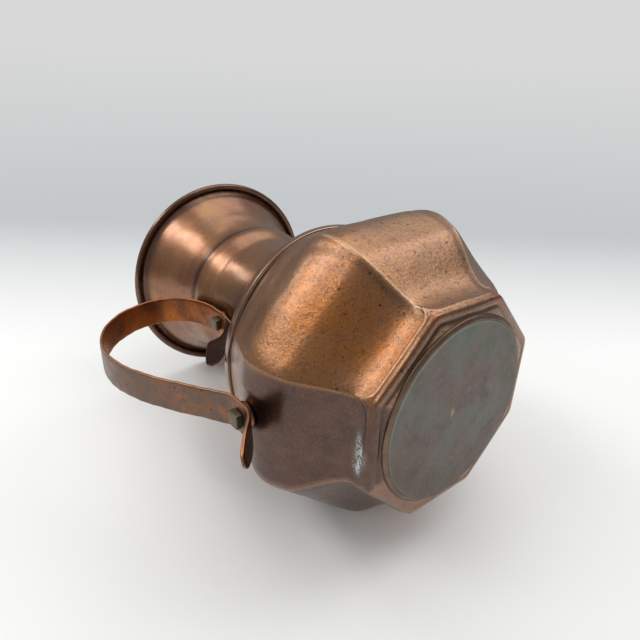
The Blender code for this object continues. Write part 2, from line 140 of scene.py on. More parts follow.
# Bolts and spacers, as in the design
HEAD_HEIGHT = 3.0 * MM
HEAD_CROWN = 0.12 * MM
SHANK_RADIUS = 2.0 * MM
BORE_RADIUS = 2.4 * MM

# (height, distance to the middle of a panel), and (height, how crisp the creases are)
RIM = (
    (FOOT_HEIGHT, FOOT_FLAT),
    (FLARE_HEIGHT, FLARE_FLAT),
    (BEND_HEIGHT, BEND_FLAT),
    (BELLY_HEIGHT, BELLY_FLAT),
    (SHOULDER_HEIGHT, SHOULDER_FLAT),
    (SEAM_HEIGHT, SEAM_RADIUS),
)
CREASES = (
    (FOOT_HEIGHT, 70.0),
    (BEND_HEIGHT, 60.0),
    (BELLY_HEIGHT, 30.0),
    (SHOULDER_HEIGHT, 24.0),
    (SEAM_HEIGHT, 6.0),
)


def srgb(code):
    """Linear colour from a hex code such as "B87333"."""
    made = []
    for start in (0, 2, 4):
        value = int(code[start : start + 2], 16) / 255
        made.append(value / 12.92 if value <= 0.04045 else ((value + 0.055) / 1.055) ** 2.4)
    return (*made, 1.0)


class JugShape(bpy.types.PropertyGroup):
    """Sizes of the hand-made detail that a user would change."""

    panel_dish: bpy.props.FloatProperty(
        name="Panel dish", description="How far the middle of a lower panel sinks",
        default=0.8 * MM, unit="LENGTH",
    )
    crease_rise: bpy.props.FloatProperty(
        name="Crease rise", description="Height of the thin ridge along a crease",
        default=0.42 * MM, unit="LENGTH",
    )
    groove_depth: bpy.props.FloatProperty(
        name="Foot groove", description="Depth of the groove under the foot", default=0.55 * MM, unit="LENGTH"
    )
    dents: bpy.props.FloatProperty(
        name="Dents", description="Depth of the soft hammer dents", default=0.22 * MM, unit="LENGTH"
    )
    strap_width: bpy.props.FloatProperty(
        name="Strap width", description="Width of the handle strap", default=15.8 * MM, unit="LENGTH"
    )


class JugFinish(bpy.types.PropertyGroup):
    """Colours of the metals."""

    copper: bpy.props.FloatVectorProperty(
        name="Copper", description="Rubbed copper of the panels", subtype="COLOR", size=4,
        min=0.0, max=1.0, default=srgb("A07450"),
    )
    amber: bpy.props.FloatVectorProperty(
        name="Amber patina", description="Golden patina in the panels", subtype="COLOR", size=4,
        min=0.0, max=1.0, default=srgb("B06C2C"),
    )
    # this colour is the dark patina and also the painted shade
    patina_and_shade: bpy.props.FloatVectorProperty(
        name="Dark patina", description="Purple-brown patina", subtype="COLOR", size=4,
        min=0.0, max=1.0, default=srgb("4A322A"),
    )
    neck: bpy.props.FloatVectorProperty(
        name="Neck copper", description="Golden brown spun copper", subtype="COLOR", size=4,
        min=0.0, max=1.0, default=srgb("9C6E46"),
    )
    strap: bpy.props.FloatVectorProperty(
        name="Strap copper", description="Orange copper of the handle", subtype="COLOR", size=4,
        min=0.0, max=1.0, default=srgb("B4692F"),
    )
    base: bpy.props.FloatVectorProperty(
        name="Base copper", description="Grey-green oxidised base", subtype="COLOR", size=4,
        min=0.0, max=1.0, default=srgb("6A6963"),
    )


class JugStudio(bpy.types.PropertyGroup):
    """Camera and lights."""

    camera_place: bpy.props.FloatVectorProperty(
        name="Camera place", description="Where the camera stands", subtype="TRANSLATION", unit="LENGTH",
        default=(-0.1638, -0.1258, -0.1062),
    )
    camera_turn: bpy.props.FloatVectorProperty(
        name="Camera turn", description="Camera rotation", subtype="EULER",
        default=tuple(math.radians(angle) for angle in (154.454, 37.612, -2.066)),
    )
    lens: bpy.props.FloatProperty(
        name="Lens", description="Focal length in millimetres", default=28.125, min=1.0
    )
    window_power: bpy.props.FloatProperty(
        name="Window", description="Power of the window light in watts", default=3.9, min=0.0
    )
    card_power: bpy.props.FloatProperty(
        name="Card", description="Power of the side light in watts", default=1.1, min=0.0
    )
    overhead_power: bpy.props.FloatProperty(
        name="Overhead", description="Power of the overhead softbox in watts", default=11.5, min=0.0
    )


# ---------------------------------------------------------------- shape helpers


def cubic(points, at):
    """Height-ordered (height, radius) points read with a monotone cubic; at is an array of heights."""
    xs = np.array([p[0] for p in points])
    ys = np.array([p[1] for p in points])
    slopes = np.diff(ys) / np.diff(xs)
    tangents = np.zeros(len(xs))
    tangents[0], tangents[-1] = slopes[0], slopes[-1]
    for i in range(1, len(xs) - 1):
        before, after = slopes[i - 1], slopes[i]
        if before * after > 0:
            tangents[i] = 2 * before * after / (before + after)
    at = np.asarray(at, float)
    index = np.clip(np.searchsorted(xs, at, side="right") - 1, 0, len(slopes) - 1)
    width = xs[index + 1] - xs[index]
    t = (at - xs[index]) / width
    return (
        (2 * t**3 - 3 * t**2 + 1) * ys[index]
        + (t**3 - 2 * t**2 + t) * width * tangents[index]
        + (3 * t**2 - 2 * t**3) * ys[index + 1]
        + (t**3 - t**2) * width * tangents[index + 1]
    )


def power_mean(angle, crispness):
    """Radius of an eight-sided outline one unit to its flats, crisper as crispness grows."""
    total = 0.0
    for side in range(PANELS):
        towards = np.maximum(np.cos(angle - side * math.tau / PANELS), 0.0)
        total = total + towards**crispness
    return total ** (-1 / crispness)


def body_radius(angle, height):
    """Outer face of the plain eight-sided body. Angle and height are arrays of one shape."""
    above = np.minimum(height, SEAM_HEIGHT)
    flat = cubic(RIM, above) + SEAM_SLOPE * np.maximum(0.0, height - SEAM_HEIGHT)
    crispness = cubic(CREASES, above)
    return flat * power_mean(angle, crispness) / power_mean(0.0, crispness)


def hump(distance, width):
    """1 at no distance, falling smoothly to nothing a few widths away."""
    return np.exp(-((distance / width) ** 2))


def ease(low, high, value):
    """0 below low, 1 above high, smooth between. Low may be above high, which turns it round."""
    t = np.clip((value - low) / (high - low), 0.0, 1.0)
    return t * t * (3 - 2 * t)


def angle_between(angle, other):
    """Turn from the other angle to the angle, from minus to plus half a turn."""
    return (angle - other + math.pi) % math.tau - math.pi


def waves(points, size, seed, count=14):
    """Soft random unevenness from -1 to 1, about size across from dent to dent."""
    chance = np.random.default_rng(seed)
    total = np.zeros(points.shape[:-1])
    for _ in range(count):
        way = chance.normal(size=3)
        way /= np.linalg.norm(way)
        length = size * chance.uniform(0.8, 1.7)
        total += np.sin(points @ way * (math.tau / length) + chance.uniform(0, math.tau))
    return total / math.sqrt(count)


def grid_object(name, rows, around=True, along=False, caps=False):
    """Mesh from rows of points. Rows run along the piece, points run round it, anticlockwise from +Z."""
    rows = np.asarray(rows, float)
    count, across = rows.shape[:2]
    mesh = bpy.data.meshes.new(name)
    row_index = np.arange(count if along else count - 1)
    point_index = np.arange(across if around else across - 1)
    i, j = np.meshgrid(row_index, point_index, indexing="ij")
    after, beside = (i + 1) % count, (j + 1) % across
    corners = np.stack(
        [i * across + j, i * across + beside, after * across + beside, after * across + j], axis=-1
    )
    faces = corners.reshape(-1, 4).tolist()
    if caps:
        faces.append(list(range(across))[::-1])
        faces.append([(count - 1) * across + k for k in range(across)])
    mesh.from_pydata(rows.reshape(-1, 3).tolist(), [], faces)
    mesh.shade_smooth()
    thing = bpy.data.objects.new(name, mesh)
    bpy.context.scene.collection.objects.link(thing)
    return thing


def paint(thing, name, values):
    """Stores one number for each point, which the finish reads."""
    layer = thing.data.attributes.new(name, "FLOAT", "POINT")
    layer.data.foreach_set("value", np.asarray(values, np.float32).reshape(-1))


def circled(angle, radius, height):
    """Points at angles round the axis. The three may be numbers or arrays that fit together."""
    return np.stack(np.broadcast_arrays(radius * np.cos(angle), radius * np.sin(angle), height), axis=-1)


def ring_places(rows):
    """Angle and distance from the axis of each point."""
    return np.arctan2(rows[..., 1], rows[..., 0]), np.hypot(rows[..., 0], rows[..., 1])


def turned_rows(profile, around):
    """Rows of points for a profile of (radius, height) turned round the axis."""
    angle = np.arange(around) * math.tau / around
    profile = np.asarray(profile, float)
    return circled(angle, profile[:, :1], profile[:, 1:])


def ring_section(centre, wide, tall, count):
    """(radius, height) points round an oval section."""
    turns = np.linspace(0, math.tau, count + 1)[:-1]
    return [(centre[0] + wide * math.cos(turn), centre[1] + tall * math.sin(turn)) for turn in turns]


def sheet_thickness(thing, material_offset):
    """Gives an outer face the sheet's thickness, inwards, with a later finish inside."""
    modifier = thing.modifiers.new("sheet", "SOLIDIFY")
    modifier.thickness = SHEET
    modifier.offset = -1.0
    modifier.use_even_offset = True
    modifier.material_offset = material_offset


def placed(thing, slot, *nodes):
    """Rides the piece on the jug in the place of its plain solid, and hides that solid. The slot is not used.
    """
    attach(thing, BODY)
    if nodes:
        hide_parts(*nodes)
    return thing


# ---------------------------------------------------------------- finishes


def fill(tree, node, inputs):
    """Gives inputs of a node, by name or number, a socket to follow or a value."""
    for key, value in inputs.items():
        if isinstance(value, bpy.types.NodeSocket):
            tree.links.new(value, node.inputs[key])
        else:
            node.inputs[key].default_value = value


def add_node(tree, kind, inputs=None, **settings):
    """One node with its settings, and its inputs filled."""
    node = tree.nodes.new(kind)
    for name, value in settings.items():
        setattr(node, name, value)
    fill(tree, node, inputs or {})
    return node


def new_finish(name):
    """Material, its tree, its shader and the place on the piece, from which every pattern starts."""
    material = bpy.data.materials.new(name)
    material.use_nodes = True
    tree = material.node_tree
    place = add_node(tree, "ShaderNodeTexCoord").outputs["Object"]
    return material, tree, tree.nodes["Principled BSDF"], place


def per_mm(size):
    """Scale that makes a pattern repeat about every size millimetres."""
    return 1000.0 / size


def mottles(tree, place, *kinds):
    """Blotchy patterns. Each kind is the blotches' size in millimetres, the detail and the roughness."""
    made = []
    for size, detail, roughness in kinds:
        inputs = {"Vector": place, "Scale": per_mm(size), "Detail": detail, "Roughness": roughness}
        made.append(add_node(tree, "ShaderNodeTexNoise", inputs).outputs["Fac"])
    return made


def cover(tree, pattern, low=0.0, high=1.0, least=0.0, most=1.0, within=()):
    """How much of a layer shows: from least to most as the pattern goes from low to high.

    Each thing that it lies within thins it. All are sockets, or names of values painted on the piece.
    """
    sockets = []
    for source in (pattern, *within):
        if isinstance(source, str):
            source = add_node(tree, "ShaderNodeAttribute", attribute_name=source).outputs["Fac"]
        sockets.append(source)
    limits = {0: sockets[0], 1: low, 2: high, 3: least, 4: most}
    amount = add_node(tree, "ShaderNodeMapRange", limits).outputs[0]
    for socket in sockets[1:]:
        both = {0: amount, 1: socket}
        amount = add_node(tree, "ShaderNodeMath", both, operation="MULTIPLY", use_clamp=True).outputs[0]
    return amount


def layered(tree, ground, *layers):
    """Colour of a stack of layers. Each is how much it covers and its colour, over those before it."""
    for amount, colour in layers:
        inputs = {0: amount, 6: ground, 7: colour}
        ground = add_node(tree, "ShaderNodeMix", inputs, data_type="RGBA").outputs[2]
    return ground


def pits(tree, place, spacing, share):
    """Small dark etched pits, about one to each spacing millimetres, in a random share of places."""
    cells = add_node(tree, "ShaderNodeTexVoronoi", {"Vector": place, "Scale": per_mm(spacing)})
    pick = add_node(tree, "ShaderNodeSeparateColor", {"Color": cells.outputs["Color"]})
    chosen = cover(tree, pick.outputs[0], 1.0 - share, 1.1 - share)
    return cover(tree, cells.outputs["Distance"], 0.13, 0.30, 1.0, 0.0, within=[chosen])


def surfaced(tree, shader, colour, rough, relief, strength, depth, **others):
    """Joins a finish's colour, roughness and relief to its shader. Depth is the relief's, in metres."""
    bump = add_node(tree, "ShaderNodeBump", {"Height": relief, "Strength": strength, "Distance": depth})
    inputs = {"Base Color": colour, "Roughness": rough, "Normal": bump.outputs[0]}
    inputs.update({name.replace("_", " "): value for name, value in others.items()})
    fill(tree, shader, inputs)


def aged_copper():
    """Copper sheet, hammered and left to tarnish: satin gloss, with pits, and bright ridges that are partly
    worn and partly painted highlight.

    Golden patina lies in the front panels. Purple-brown lies low and near the handle, and as painted shade in
    the crease valleys, under the foot and on the panel towards the floor, with a dark line of dirt and
    painted shade in the groove under the foot.
    """
    finish = bpy.context.scene.jug_finish
    material, tree, shader, place = new_finish("hammered aged copper")
    # the real grain is finer: 1.5 and 0.7 mm are as fine as shows
    blotch, stain, grain, fine, streak = mottles(
        tree, place, (26.0, 4.0, 0.6), (9.0, 5.0, 0.65), (1.5, 4.0, 0.7), (0.7, 2.0, 0.6), (3.6, 5.0, 0.75)
    )
    small_pits, large_pits = pits(tree, place, 1.2, 0.34), pits(tree, place, 2.9, 0.20)
    all_pits = add_node(
        tree, "ShaderNodeMath", {0: small_pits, 1: large_pits}, operation="MAXIMUM", use_clamp=True
    )
    pitted = cover(tree, all_pits.outputs[0], within=["speckle"])
    # share of purple-brown: partly patina, partly painted shade
    dark = cover(tree, stain, 0.30, 0.60, 0.80, 1.0, within=["patina_and_shade"])
    scuff = cover(tree, grain, 0.42, 0.53, within=["scuff"])
    colour = layered(
        tree,
        tuple(finish.copper),
        (cover(tree, blotch, 0.26, 0.52, within=["amber"]), tuple(finish.amber)),
        (cover(tree, stain, 0.46, 0.70, 0.0, 0.5), srgb("8C6654")),
        # purple-brown, partly patina and partly painted shade, with darker blotches in it
        (dark, tuple(finish.patina_and_shade)),
        (cover(tree, blotch, 0.52, 0.64, 0.0, 0.5, within=[dark]), srgb("5C3B2C")),
        (cover(tree, grain, 0.53, 0.68, 0.0, 0.45, within=["speckle"]), srgb("4E2E20")),
        (cover(tree, fine, 0.54, 0.74, 0.0, 0.35, within=["speckle"]), srgb("C79F82")),
        (cover(tree, pitted, most=0.8), srgb("2A1711")),
        (cover(tree, streak, 0.55, 0.66, 0.0, 0.6, within=["speckle"]), srgb("5E3322")),
        (cover(tree, stain, 0.50, 0.62, 0.0, 0.9, within=["orange"]), srgb("A5552F")),
        # painted shade and dirt in the groove under the foot
        (cover(tree, "groove_grime_and_shade", most=0.9), srgb("231610")),
        # lighter ridges and edges, partly worn and partly painted highlight
        (cover(tree, stain, 0.25, 0.60, 0.45, 1.0, within=["wear_and_highlight"]), srgb("CDA986")),
        (scuff, srgb("B4C4BF")),
    )
    satin = {0: cover(tree, stain, 0.3, 0.7, 0.25, 0.34), 1: cover(tree, grain, 0.35, 0.7, 0.0, 0.08)}
    rough = add_node(tree, "ShaderNodeMath", satin, operation="ADD", use_clamp=True)
    raised = cover(tree, grain, 0.3, 0.7, within=[cover(tree, "speckle", least=0.3)])
    etched = {0: raised, 1: cover(tree, pitted, most=0.5)}
    relief = add_node(tree, "ShaderNodeMath", etched, operation="SUBTRACT", use_clamp=True)
    surfaced(
        tree, shader, colour, rough.outputs[0], relief.outputs[0], 0.42, 0.24 * MM,
        Metallic=cover(tree, scuff, 0.0, 0.6, 0.92, 0.2),
        # a thin oxide film, which whitens the highlights
        Coat_Weight=0.4, Coat_Roughness=0.28, Coat_IOR=1.7,
    )
    return material


def spun_copper():
    """Copper spun on a lathe and handled: smooth and glossy, golden brown, with faint turning lines."""
    finish = bpy.context.scene.jug_finish
    material, tree, shader, place = new_finish("spun copper")
    blotch, stain, grain = mottles(tree, place, (30.0, 4.0, 0.6), (7.0, 4.0, 0.6), (1.0, 3.0, 0.6))
    # stretched round the jug into turning lines, 1.2 mm apart: the real ones are too fine to show
    stretched = add_node(tree, "ShaderNodeMapping", {"Vector": place, "Scale": (0.02, 0.02, 1.0)})
    lines = mottles(tree, stretched.outputs[0], (1.2, 3.0, 0.7))[0]
    colour = layered(
        tree,
        tuple(finish.neck),
        (cover(tree, blotch, 0.35, 0.65), srgb("86553A")),
        (cover(tree, stain, 0.50, 0.75, 0.0, 0.5), srgb("6E4E3C")),
        # purple-brown where painted: painted shade in the groove and under the rolled lip, darker also near
        # the handle
        (cover(tree, stain, 0.2, 0.6, 0.6, 1.0, within=["patina_and_shade"]), srgb("4A2C20")),
        (cover(tree, lines, 0.5, 0.75, 0.0, 0.25), srgb("B98C64")),
        (cover(tree, pits(tree, place, 3.4, 0.16), most=0.6), srgb("452A1E")),
        # bright line along the lap edge, painted highlight
        (cover(tree, "wear_and_highlight"), srgb("F2CFA6")),
    )
    gloss = {0: cover(tree, stain, 0.3, 0.7, 0.24, 0.34), 1: cover(tree, grain, 0.4, 0.7, 0.0, 0.05)}
    rough = add_node(tree, "ShaderNodeMath", gloss, operation="ADD", use_clamp=True)
    marks = {0: cover(tree, lines, 0.3, 0.7, 0.0, 0.5), 1: cover(tree, grain, 0.3, 0.7, 0.0, 0.3)}
    relief = add_node(tree, "ShaderNodeMath", marks, operation="ADD", use_clamp=True)
    surfaced(
        tree, shader, colour, rough.outputs[0], relief.outputs[0], 0.12, 0.15 * MM,
        Metallic=0.92, Coat_Weight=0.5, Coat_Roughness=0.22, Coat_IOR=1.7,
    )
    return material


def inside_copper():
    """Inner face of the copper sheet, tarnished by water: duller and darker than the outside."""
    material, tree, shader, place = new_finish("water-tarnished copper inside")
    stain, grain = mottles(tree, place, (14.0, 5.0, 0.65), (1.2, 3.0, 0.6))
    colour = layered(
        tree,
        srgb("8A5E44"),
        (cover(tree, stain, 0.35, 0.65), srgb("5A4238")),
        (cover(tree, grain, 0.5, 0.75, 0.0, 0.4), srgb("A37A5C")),
    )
    rough = cover(tree, stain, 0.3, 0.7, 0.38, 0.52)
    surfaced(tree, shader, colour, rough, grain, 0.2, 0.2 * MM, Metallic=0.9)
    return material


def oxidised_base():
    """Copper disc that has stood on wet floors: matt grey-green and brown oxide with scuffs."""
    finish = bpy.context.scene.jug_finish
    material, tree, shader, place = new_finish("oxidised copper base")
    cloud, blotch, grain, pale = mottles(
        tree, place, (30.0, 5.0, 0.62), (12.0, 6.0, 0.66), (1.6, 4.0, 0.65), (16.0, 6.0, 0.7)
    )
    colour = layered(
        tree,
        tuple(finish.base),
        (cover(tree, cloud, 0.42, 0.56), srgb("6E5E58")),
        (cover(tree, blotch, 0.50, 0.64, 0.0, 0.45), srgb("54574F")),
        (cover(tree, pale, 0.52, 0.70, 0.0, 0.45), srgb("80757A")),
        (cover(tree, "brown", most=0.6), srgb("5F5444")),
        (cover(tree, blotch, 0.44, 0.58, 0.1, 0.8, within=["verdigris"]), srgb("64705F")),
        (cover(tree, grain, 0.54, 0.72, 0.0, 0.45), srgb("8A837C")),
        (cover(tree, "fleck"), srgb("A89868")),
        # painted highlight along the edge
        (cover(tree, "wear_and_highlight"), srgb("A3AA94")),
    )
    rough = cover(tree, blotch, 0.3, 0.7, 0.42, 0.60)
    surfaced(tree, shader, colour, rough, grain, 0.3, 0.2 * MM, Metallic=0.55)
    return material


def strap_copper():
    """Rolled copper strip, bent cold: orange-brown and satin, greyer outside, with bright edges."""
    finish = bpy.context.scene.jug_finish
    material, tree, shader, place = new_finish("rolled copper strip")
    blotch, stain, grain = mottles(tree, place, (18.0, 4.0, 0.6), (6.0, 4.0, 0.62), (0.9, 3.0, 0.6))
    colour = layered(
        tree,
        tuple(finish.strap),
        (cover(tree, blotch, 0.38, 0.64), srgb("6E432E")),
        (cover(tree, stain, 0.3, 0.55, 0.5, 0.95, within=["outer"]), srgb("665A52")),
        # near-black painted shade on the tails
        (cover(tree, "patina_and_shade"), srgb("2A1B16")),
        (cover(tree, grain, 0.52, 0.74, 0.0, 0.35), srgb("A87E60")),
        (cover(tree, "wear_and_highlight", most=0.8), srgb("B87F5C")),
        (cover(tree, pits(tree, place, 2.6, 0.2), most=0.6), srgb("3B241A")),
    )
    rough = cover(tree, stain, 0.3, 0.7, 0.30, 0.44)
    surfaced(tree, shader, colour, rough, grain, 0.2, 0.2 * MM, Metallic=0.9)
    return material


def tarnished_brass(name, tint):
    """Cut and filed brass, tarnished: olive-grey and dull, with lighter worn specks and file marks."""
    material, tree, shader, place = new_finish(name)
    stain, grain = mottles(tree, place, (2.5, 4.0, 0.6), (0.5, 3.0, 0.6))
    colour = layered(
        tree,
        srgb(tint),
        (cover(tree, stain, 0.35, 0.65), srgb("5C5440")),
        (cover(tree, grain, 0.5, 0.72, 0.0, 0.5), srgb("A8977A")),
    )
    rough = cover(tree, stain, 0.3, 0.7, 0.36, 0.52)
    surfaced(tree, shader, colour, rough, grain, 0.3, 0.1 * MM, Metallic=0.9)
    return material


def stamped_copper():
    """Washers and spacers stamped from copper sheet: brown, satin, with brighter worn specks."""
    material, tree, shader, place = new_finish("stamped copper")
    stain, grain = mottles(tree, place, (4.0, 4.0, 0.6), (0.6, 3.0, 0.6))
    colour = layered(
        tree,
        srgb("A87050"),
        (cover(tree, stain, 0.35, 0.65), srgb("6C4836")),
        (cover(tree, grain, 0.5, 0.74, 0.0, 0.4), srgb("D5A583")),
    )
    rough = cover(tree, stain, 0.3, 0.7, 0.3, 0.45)
    surfaced(tree, shader, colour, rough, grain, 0.2, 0.1 * MM, Metallic=0.92)
    return material


def tin_solder():
    """Soft tin solder, wiped while hot: dull grey-brown with a copper bloom and small ripples."""
    material, tree, shader, place = new_finish("tin solder")
    bloom, ripple = mottles(tree, place, (8.0, 4.0, 0.6), (1.4, 3.0, 0.6))
    colour = layered(
        tree,
        srgb("7C6656"),
        (cover(tree, bloom, 0.38, 0.62), srgb("6B584A")),
        (cover(tree, ripple, 0.5, 0.7, 0.0, 0.4), srgb("8C7A68")),
    )
    rough = cover(tree, ripple, 0.3, 0.7, 0.34, 0.5)
    surfaced(tree, shader, colour, rough, ripple, 0.4, 0.2 * MM, Metallic=0.85)
    return material


FINISHES = {}


def finish_of(name, make):
    """Makes a finish once and shares it between the pieces that have it."""
    if name not in FINISHES:
        FINISHES[name] = make()
    return FINISHES[name]


# ---------------------------------------------------------------- body

COLUMNS_PER_PANEL = 48
TOP_DENT_ANGLE = math.radians(281)
TOP_DENT_DEPTH = 3.6 * MM
TOP_DENT_HEIGHT = 84.0 * MM
TOP_DENT_SIZE = 11.0 * MM
TOP_DENT_SPREAD = 0.42
TWIST = math.radians(-3.4)
# how bright a crease is stands partly for wear and partly for painted highlight where it catches the light
CREASE_WEAR_AND_HIGHLIGHT = np.array([0.4, 0.4, 0.4, 0.30, 0.12, 0.9, 0.7, 0.4])  # how sharp and bright each crease is
FOOT_FILLET = 2.0 * MM
FOOT_GROOVE = 4.6 * MM  # how far the groove under the foot lies inside its edge
EDGE_CURL = 6.5 * MM


def panel_angles():
    """Angles round the body, closer together at the creases."""
    place = (np.arange(COLUMNS_PER_PANEL) + 0.5) / COLUMNS_PER_PANEL * 2 - 1
    warped = place + 0.17 * np.sin(math.pi * place)
    middles = np.arange(PANELS) * math.tau / PANELS
    return (middles[:, None] + warped[None, :] * HALF_PANEL).reshape(-1)


def top_dent(angle, height):
    """Knocked-in place high on the body, over the side panel, which reaches over the seam."""
    across = hump(angle_between(angle, TOP_DENT_ANGLE), TOP_DENT_SPREAD)
    return -TOP_DENT_DEPTH * across * hump(height - TOP_DENT_HEIGHT, TOP_DENT_SIZE)


def twist(height):
    """Turn of the panels against the foot, as the hammered body came out."""
    return TWIST * ease(FOOT_HEIGHT + 3 * MM, BEND_HEIGHT, height)


def crease_place(angle):
    """Angle to the nearest crease, and which crease it is."""
    number = np.floor(angle / (2 * HALF_PANEL))
    return angle_between(angle, (number + 0.5) * 2 * HALF_PANEL), np.mod(number, PANELS).astype(int)


def lower_edge_height(from_crease):
    """Height of a panel's lower edge, which curls up into the crease at both ends."""
    reach = np.clip((EDGE_CURL - np.abs(from_crease)) / EDGE_CURL, 0, 1)
    return FOOT_HEIGHT + 2.4 * MM + 5.5 * MM * (1 - np.sqrt(1 - reach**2))


def valley_place(height):
    """Distance of the soft valley from its crease: it opens towards the belly."""
    return 2.6 * MM + 4.0 * MM * ease(BEND_HEIGHT - 6 * MM, BELLY_HEIGHT + 6 * MM, height)


def body_detail(angle, height, radius):
    """Radial change from the plain form: dished panels, ridges, valleys, lower edges and folds."""
    shape = bpy.context.scene.jug_shape
    turn, number = crease_place(angle)
    from_crease = turn * radius
    place = angle_between(angle, np.round(angle / (2 * HALF_PANEL)) * 2 * HALF_PANEL) / HALF_PANEL
    sloping = ease(FLARE_HEIGHT - 4 * MM, FLARE_HEIGHT + 9 * MM, height)
    sloping = sloping * ease(BELLY_HEIGHT + 2 * MM, BEND_HEIGHT - 4 * MM, height)
    dish = -shape.panel_dish * sloping * (1 - place**2)
    creased = ease(FOOT_HEIGHT, FOOT_HEIGHT + 5 * MM, height)
    creased = creased * ease(SHOULDER_HEIGHT + 4 * MM, BELLY_HEIGHT + 6 * MM, height)
    sharp = 0.3 + 0.7 * CREASE_WEAR_AND_HIGHLIGHT[number]
    ridge = shape.crease_rise * sharp * creased * hump(from_crease, 0.75 * MM)
    upper = ease(BEND_HEIGHT, BELLY_HEIGHT + 6 * MM, height)
    depth = 0.42 * MM * (0.6 + 0.6 * upper)
    width = 1.5 * MM + 1.4 * MM * upper
    valley = -depth * creased * sharp * hump(from_crease + valley_place(height), width)
    edge = 0.42 * MM * hump(height - lower_edge_height(from_crease), 1.1 * MM)
    hollow = -0.35 * MM * hump(height - lower_edge_height(from_crease) - 5.0 * MM, 3.0 * MM)
    fold = -0.35 * MM * hump(height - (SEAM_HEIGHT - 6.5 * MM), 1.6 * MM)
    fold = fold * (0.55 + 0.45 * np.cos(angle * 2 - 1.4))
    return dish + ridge + valley + edge + hollow + fold


def strap_seat(angle, radius, height):
    """How much of the wall is the flat under the lower bolt, 0 to 1."""
    distance = np.hypot(np.sin(angle) * radius, height - BELLY_HEIGHT)
    return ease(15 * MM, 9 * MM, distance) * (np.cos(angle) < 0)


def body_rows():
    """Angles, radii and heights of the outer face, from the opening in its bottom up to the lap."""
    angle = panel_angles()
    seat = PLATE_THICKNESS + GAP
    foot = body_radius(angle, np.full_like(angle, FOOT_HEIGHT))
    radii, heights = [], []
    for share in np.linspace(0, 1, 34):
        radius = OPENING_RADIUS + (foot - FOOT_FILLET - OPENING_RADIUS) * share
        rise = np.clip((radius - PLATE_RADIUS - 0.8 * MM) / (foot - PLATE_RADIUS), 0, 1)
        groove = bpy.context.scene.jug_shape.groove_depth * hump(foot - radius - FOOT_GROOVE, 0.8 * MM)
        radii.append(radius)
        heights.append(seat + (FOOT_HEIGHT - seat) * rise + groove)
    start_radius, start_height = radii[-1], heights[-1]
    wall_start = FOOT_HEIGHT + FOOT_FILLET
    for t in np.linspace(0, 1, 9)[1:]:
        first, middle, last = (1 - t) ** 2, 2 * t * (1 - t), t * t
        radii.append(start_radius * first + foot * middle + foot * last)
        heights.append(start_height * first + FOOT_HEIGHT * middle + wall_start * last)
    levels = np.concatenate(
        [
            np.linspace(wall_start, FLARE_HEIGHT + 3 * MM, 34)[1:],
            np.linspace(FLARE_HEIGHT + 3 * MM, BEND_HEIGHT, 26)[1:],
            np.linspace(BEND_HEIGHT, SEAM_HEIGHT, 66)[1:],
            np.linspace(SEAM_HEIGHT, SEAM_HEIGHT + LAP, 5)[1:],
        ]
    )
    for level in levels:
        height = np.full_like(angle, level)
        radii.append(body_radius(angle, height))
        heights.append(height)
    radius, height = np.array(radii), np.array(heights)
    return np.broadcast_to(angle, radius.shape), radius, height


def shaped_body():
    """Angles within the panels, radii, heights and the points of the finished outer face."""
    angles, radius, height = body_rows()
    turned = angles + twist(height)
    plain = circled(turned, radius, height)
    dents = bpy.context.scene.jug_shape.dents
    on_wall = ease(FOOT_HEIGHT, FOOT_HEIGHT + 1.6 * MM, height)
    on_wall = on_wall * ease(SEAM_HEIGHT + 1 * MM, SEAM_HEIGHT - 3 * MM, height)
    detail = body_detail(angles, height, radius) * on_wall
    soft = waves(plain, 34 * MM, 3) * dents + waves(plain, 12 * MM, 5) * dents * 0.28
    radius = radius + detail + (soft - dents) * on_wall + top_dent(turned, height)
    seat = strap_seat(turned, radius, height)
    flat = cubic(RIM, np.minimum(height, SEAM_HEIGHT)) / np.maximum(np.abs(np.cos(turned)), 0.5)
    radius = radius * (1 - seat) + flat * seat
    return angles, radius, height, circled(turned, radius, height)


